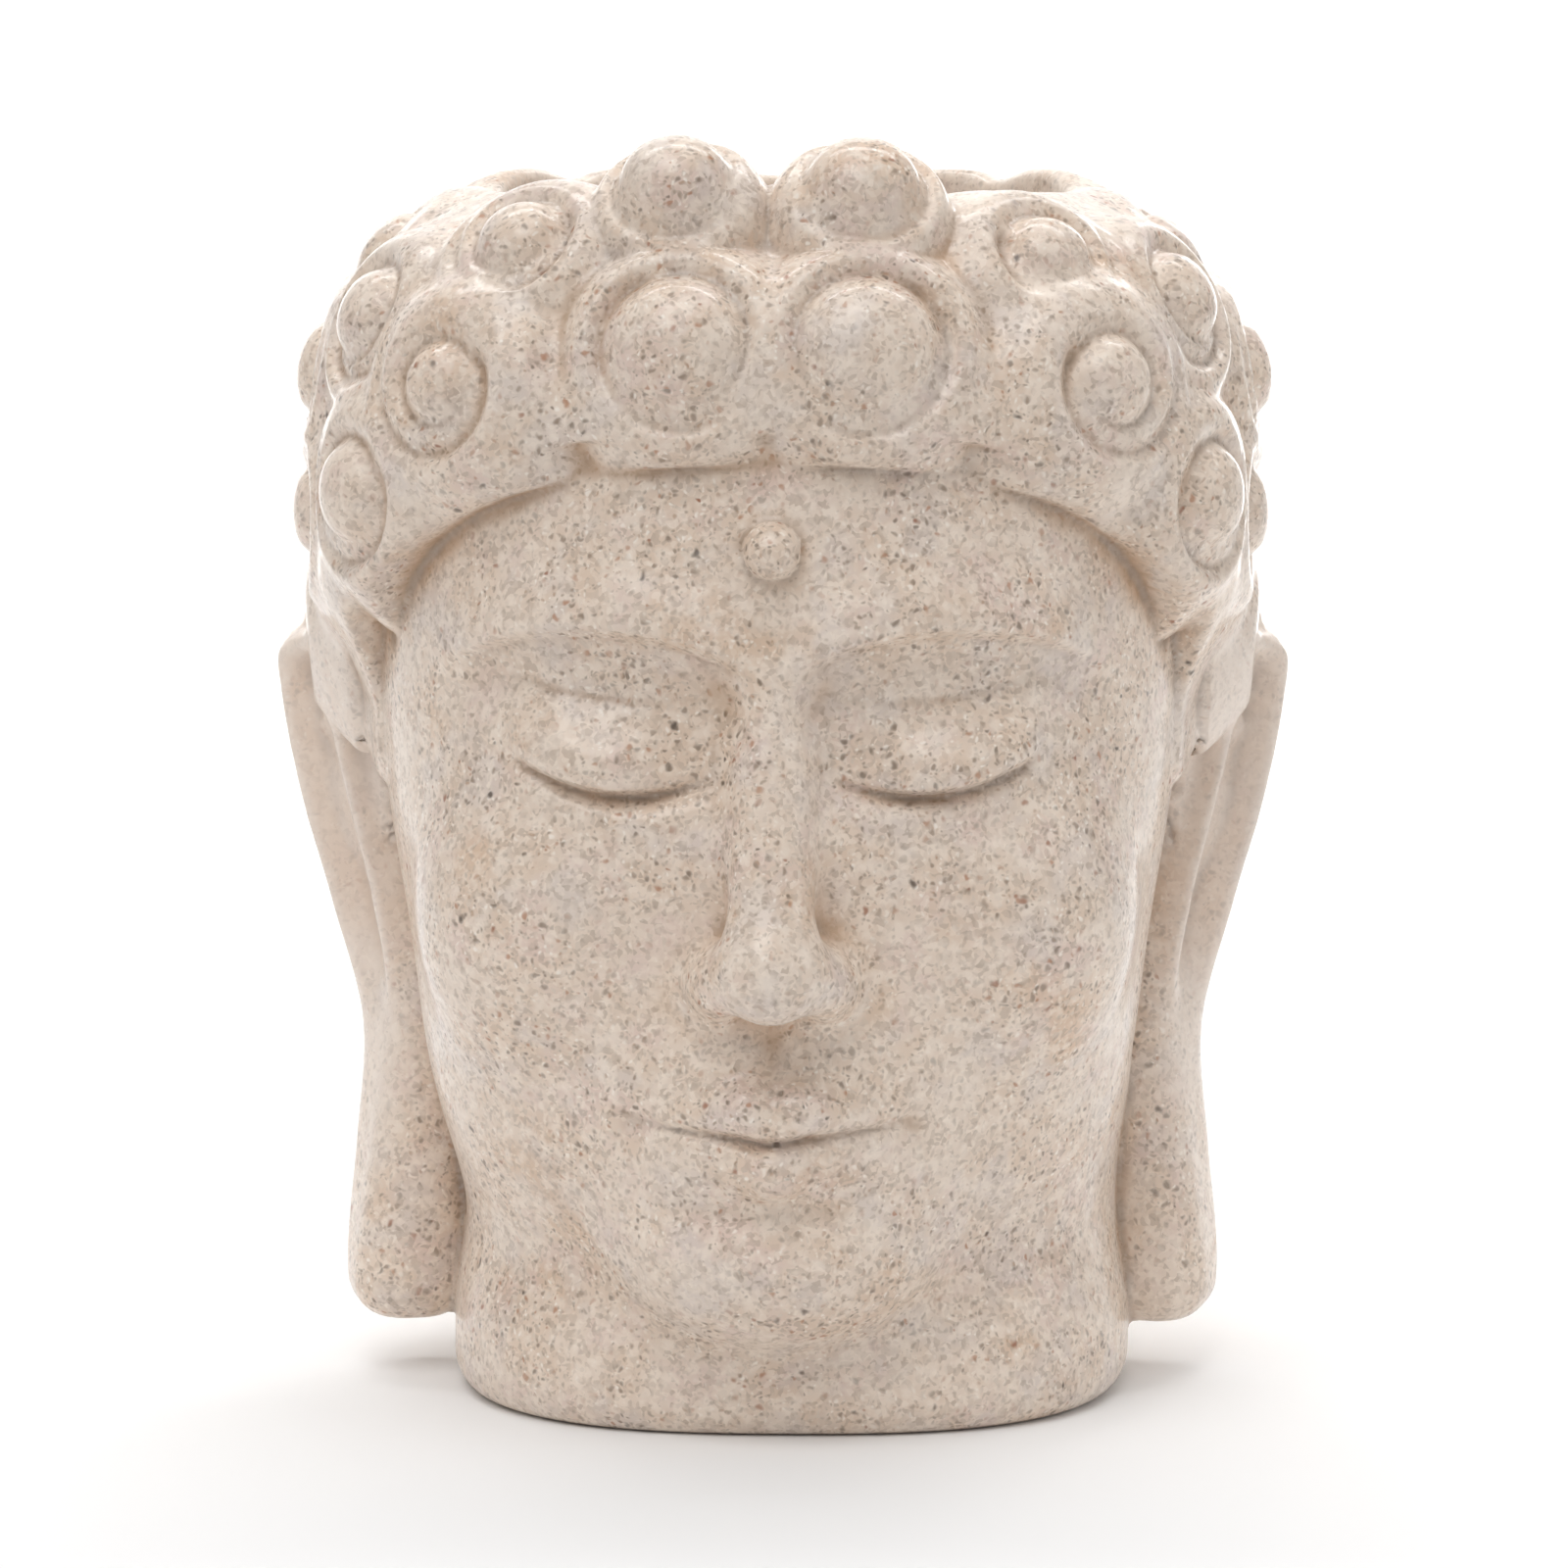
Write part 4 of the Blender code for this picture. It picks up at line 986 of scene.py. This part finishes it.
def speckled_stone():
    """Cream resin full of sand: soft clouds of colour, packed pale grains, and dark, brown and white ones,
    with painted shade in hollows, a painted highlight on ridges and painted light on the ears.
    """
    material = bpy.data.materials.new("cast_sandstone")
    material.use_nodes = True
    shade = Shading(material)
    shader = material.node_tree.nodes["Principled BSDF"]

    colour = CREAM
    clouds = shade.shares(shade.noise(CLOUD_SIZE, *CLOUD_DETAIL).outputs["Color"])
    for channel, span, tint in CLOUD_TINTS:
        colour = shade.mixed(shade.ranged(clouds[channel], *span), colour, tint)
    broad = shade.shares(shade.noise(STAIN_SIZE, *CLOUD_DETAIL).outputs["Color"])
    colour = shade.mixed(shade.ranged(broad["Red"], *STAIN_SPAN), colour, STAIN)

    stirred = shade.stirred(STIR_SIZE, STIR_AMOUNT)
    _, packed = shade.cells(FINE_GRAIN, stirred)
    for channel, span, tint in PACKED_TINTS:
        colour = shade.mixed(shade.ranged(packed[channel], *span), colour, tint)
    pale = shade.ranged(shade.noise(PALE_SIZE).outputs["Fac"], *PALE_SPAN)
    colour = shade.mixed(pale, colour, PALE_GRAIN_AND_HIGHLIGHT)
    crowd = shade.ranged(shade.noise(CLUSTER_SIZE).outputs["Fac"], *CLUSTER_SPAN)
    for size, radius, bands, offset in LOOSE_GRAINS:
        distance, shares = shade.cells(size, shade.moved(stirred, offset))
        grain, opacity = shade.stepped(shares["Red"], bands)
        largest = shade.ranged(shares["Green"], 0.0, 1.0, *GRAIN_SIZES)
        edge = shade.maths("DIVIDE", distance, shade.maths("MULTIPLY", largest, radius / size))
        amount = shade.maths("MULTIPLY", opacity, shade.ranged(edge, *GRAIN_EDGE))
        colour = shade.mixed(shade.maths("MULTIPLY", amount, crowd), colour, grain)

    hollow = shade.kept("hollow")
    stained = shade.ranged(broad["Green"], *STAINED_HOLLOWS)
    gathered = shade.maths("MULTIPLY", shade.ranged(shade.kept("socket"), *SOCKET_STAIN), stained)
    colour = shade.mixed(gathered, colour, STAIN)
    # Painted shade: hollows and creases darkened by their depth under the smoothed form
    colour = shade.mixed(shade.ranged(hollow, *HOLLOW_SHADE), colour, PAINTED_HOLLOW_SHADE)
    # Painted highlight: ridges made paler by how far they stand over the smoothed form
    colour = shade.mixed(shade.ranged(hollow, *RIDGE_PAINTED_HIGHLIGHT), colour, PALE_GRAIN_AND_HIGHLIGHT)
    # Painted light: the ears are made paler by place
    colour = shade.mixed(painted_ear_light(shade), colour, EAR_PAINTED_LIGHT)
    shade.put(shader.inputs["Base Color"], colour)

    shade.put(shader.inputs["Roughness"], shade.ranged(packed["Blue"], 0.0, 1.0, *STONE_ROUGHNESS))
    shader.inputs["Specular IOR Level"].default_value = STONE_GLOSS
    shader.inputs["Coat Weight"].default_value = LACQUER_WEIGHT
    shader.inputs["Coat Roughness"].default_value = LACQUER_ROUGHNESS
    shader.inputs["Coat IOR"].default_value = LACQUER_IOR

    waved = shade.add("ShaderNodeBump")
    waved.inputs["Strength"].default_value = WAVE_STRENGTH
    waved.inputs["Distance"].default_value = WAVE_HEIGHT
    shade.put(waved.inputs["Height"], shade.noise(WAVE_SIZE, *WAVE_DETAIL).outputs["Fac"])
    shade.put(shader.inputs["Normal"], waved.outputs["Normal"])
    return material


def painted_ear_light(shade):
    """How much painted light, which makes the ears paler, there is at a place."""
    parted = shade.add("ShaderNodeSeparateXYZ")
    shade.put(parted.inputs["Vector"], shade.place)
    across = shade.ranged(shade.maths("ABSOLUTE", parted.outputs["X"], 0.0), *EAR_LIGHT_ACROSS)
    over_foot = shade.ranged(parted.outputs["Z"], *EAR_LIGHT_FOOT)
    under_top = shade.ranged(parted.outputs["Z"], *EAR_LIGHT_TOP, EAR_LIGHT_SHARE, 0.0)
    behind_front = shade.ranged(parted.outputs["Y"], *EAR_LIGHT_FRONT)
    before_back = shade.ranged(parted.outputs["Y"], *EAR_LIGHT_BACK, 1.0, 0.0)
    upright = shade.maths("MULTIPLY", over_foot, under_top)
    deep = shade.maths("MULTIPLY", behind_front, before_back)
    return shade.maths("MULTIPLY", across, shade.maths("MULTIPLY", upright, deep))


def pale_paper():
    """White paper that is greyer well in front of the planter, out of the frame."""
    material = bpy.data.materials.new("pale_paper")
    material.use_nodes = True
    shader = material.node_tree.nodes["Principled BSDF"]
    shade = Shading(material)
    parted = shade.add("ShaderNodeSeparateXYZ")
    shade.put(parted.inputs["Vector"], shade.place)
    fade = shade.ranged(parted.outputs["Y"], *PAPER_FADE)
    shade.put(shader.inputs["Base Color"], shade.mixed(fade, FRONT_PAPER, PAPER))
    shader.inputs["Roughness"].default_value = PAPER_ROUGHNESS
    shader.inputs["Specular IOR Level"].default_value = PAPER_GLOSS
    return material


def studio_sweep():
    """A pale floor that bends up into the backdrop behind the planter."""
    profile = [(-SWEEP_FRONT, 0.0)]
    for i in range(SWEEP_STEPS + 1):
        angle = pi / 2.0 * i / SWEEP_STEPS
        profile.append((SWEEP_BEND_START + SWEEP_BEND * sin(angle), SWEEP_BEND * (1.0 - cos(angle))))
    profile.append((SWEEP_BEND_START + SWEEP_BEND, SWEEP_HEIGHT))
    points = [(side, y, z) for y, z in profile for side in (-SWEEP_HALF_WIDTH, SWEEP_HALF_WIDTH)]
    faces = [(2 * i, 2 * i + 1, 2 * i + 3, 2 * i + 2) for i in range(len(profile) - 1)]
    mesh = bpy.data.meshes.new("studio_sweep")
    mesh.from_pydata(points, [], faces)
    mesh.shade_smooth()
    mesh.materials.append(pale_paper())
    sweep = bpy.data.objects.new("studio_sweep", mesh)
    bpy.context.scene.collection.objects.link(sweep)


def soft_light(name, place, width, height, power, aimed_at=HEAD_MIDDLE):
    light = bpy.data.lights.new(name, "AREA")
    light.shape = "RECTANGLE"
    light.size = width
    light.size_y = height
    light.energy = power
    lamp = bpy.data.objects.new(name, light)
    lamp.location = place
    lamp.rotation_euler = (Vector(aimed_at) - Vector(place)).to_track_quat("-Z", "Y").to_euler()
    bpy.context.scene.collection.objects.link(lamp)


def studio():
    world = bpy.data.worlds.new("white_room")
    bpy.context.scene.world = world
    world.use_nodes = True
    background = world.node_tree.nodes["Background"]
    background.inputs["Color"].default_value = ROOM_COLOUR
    background.inputs["Strength"].default_value = ROOM_LIGHT
    for light in LIGHTS:
        soft_light(*light)
    bpy.context.scene.view_settings.view_transform = "Standard"
    studio_sweep()


def camera():
    data = bpy.data.cameras.new("camera")
    data.sensor_width = SENSOR_WIDTH
    data.lens = SENSOR_WIDTH * FOCAL_PIXELS / PHOTO_PIXELS
    data.shift_x = VIEW_SHIFT_PIXELS[0] / PHOTO_PIXELS
    data.shift_y = VIEW_SHIFT_PIXELS[1] / PHOTO_PIXELS
    data.clip_start, data.clip_end = VIEW_CLIP
    eye = bpy.data.objects.new("camera", data)
    azimuth = radians(VIEW_AZIMUTH)
    elevation = radians(VIEW_ELEVATION)
    back = Vector((sin(azimuth) * cos(elevation), -cos(azimuth) * cos(elevation), sin(elevation)))
    eye.location = Vector(VIEW_TARGET) + back * VIEW_DISTANCE
    eye.rotation_euler = (-back).to_track_quat("-Z", "Y").to_euler()
    bpy.context.scene.collection.objects.link(eye)
    bpy.context.scene.camera = eye


planter = cast_planter()
planter.data.materials.clear()
planter.data.materials.append(speckled_stone())
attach(planter, "root")
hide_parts("head_planter")
studio()
camera()
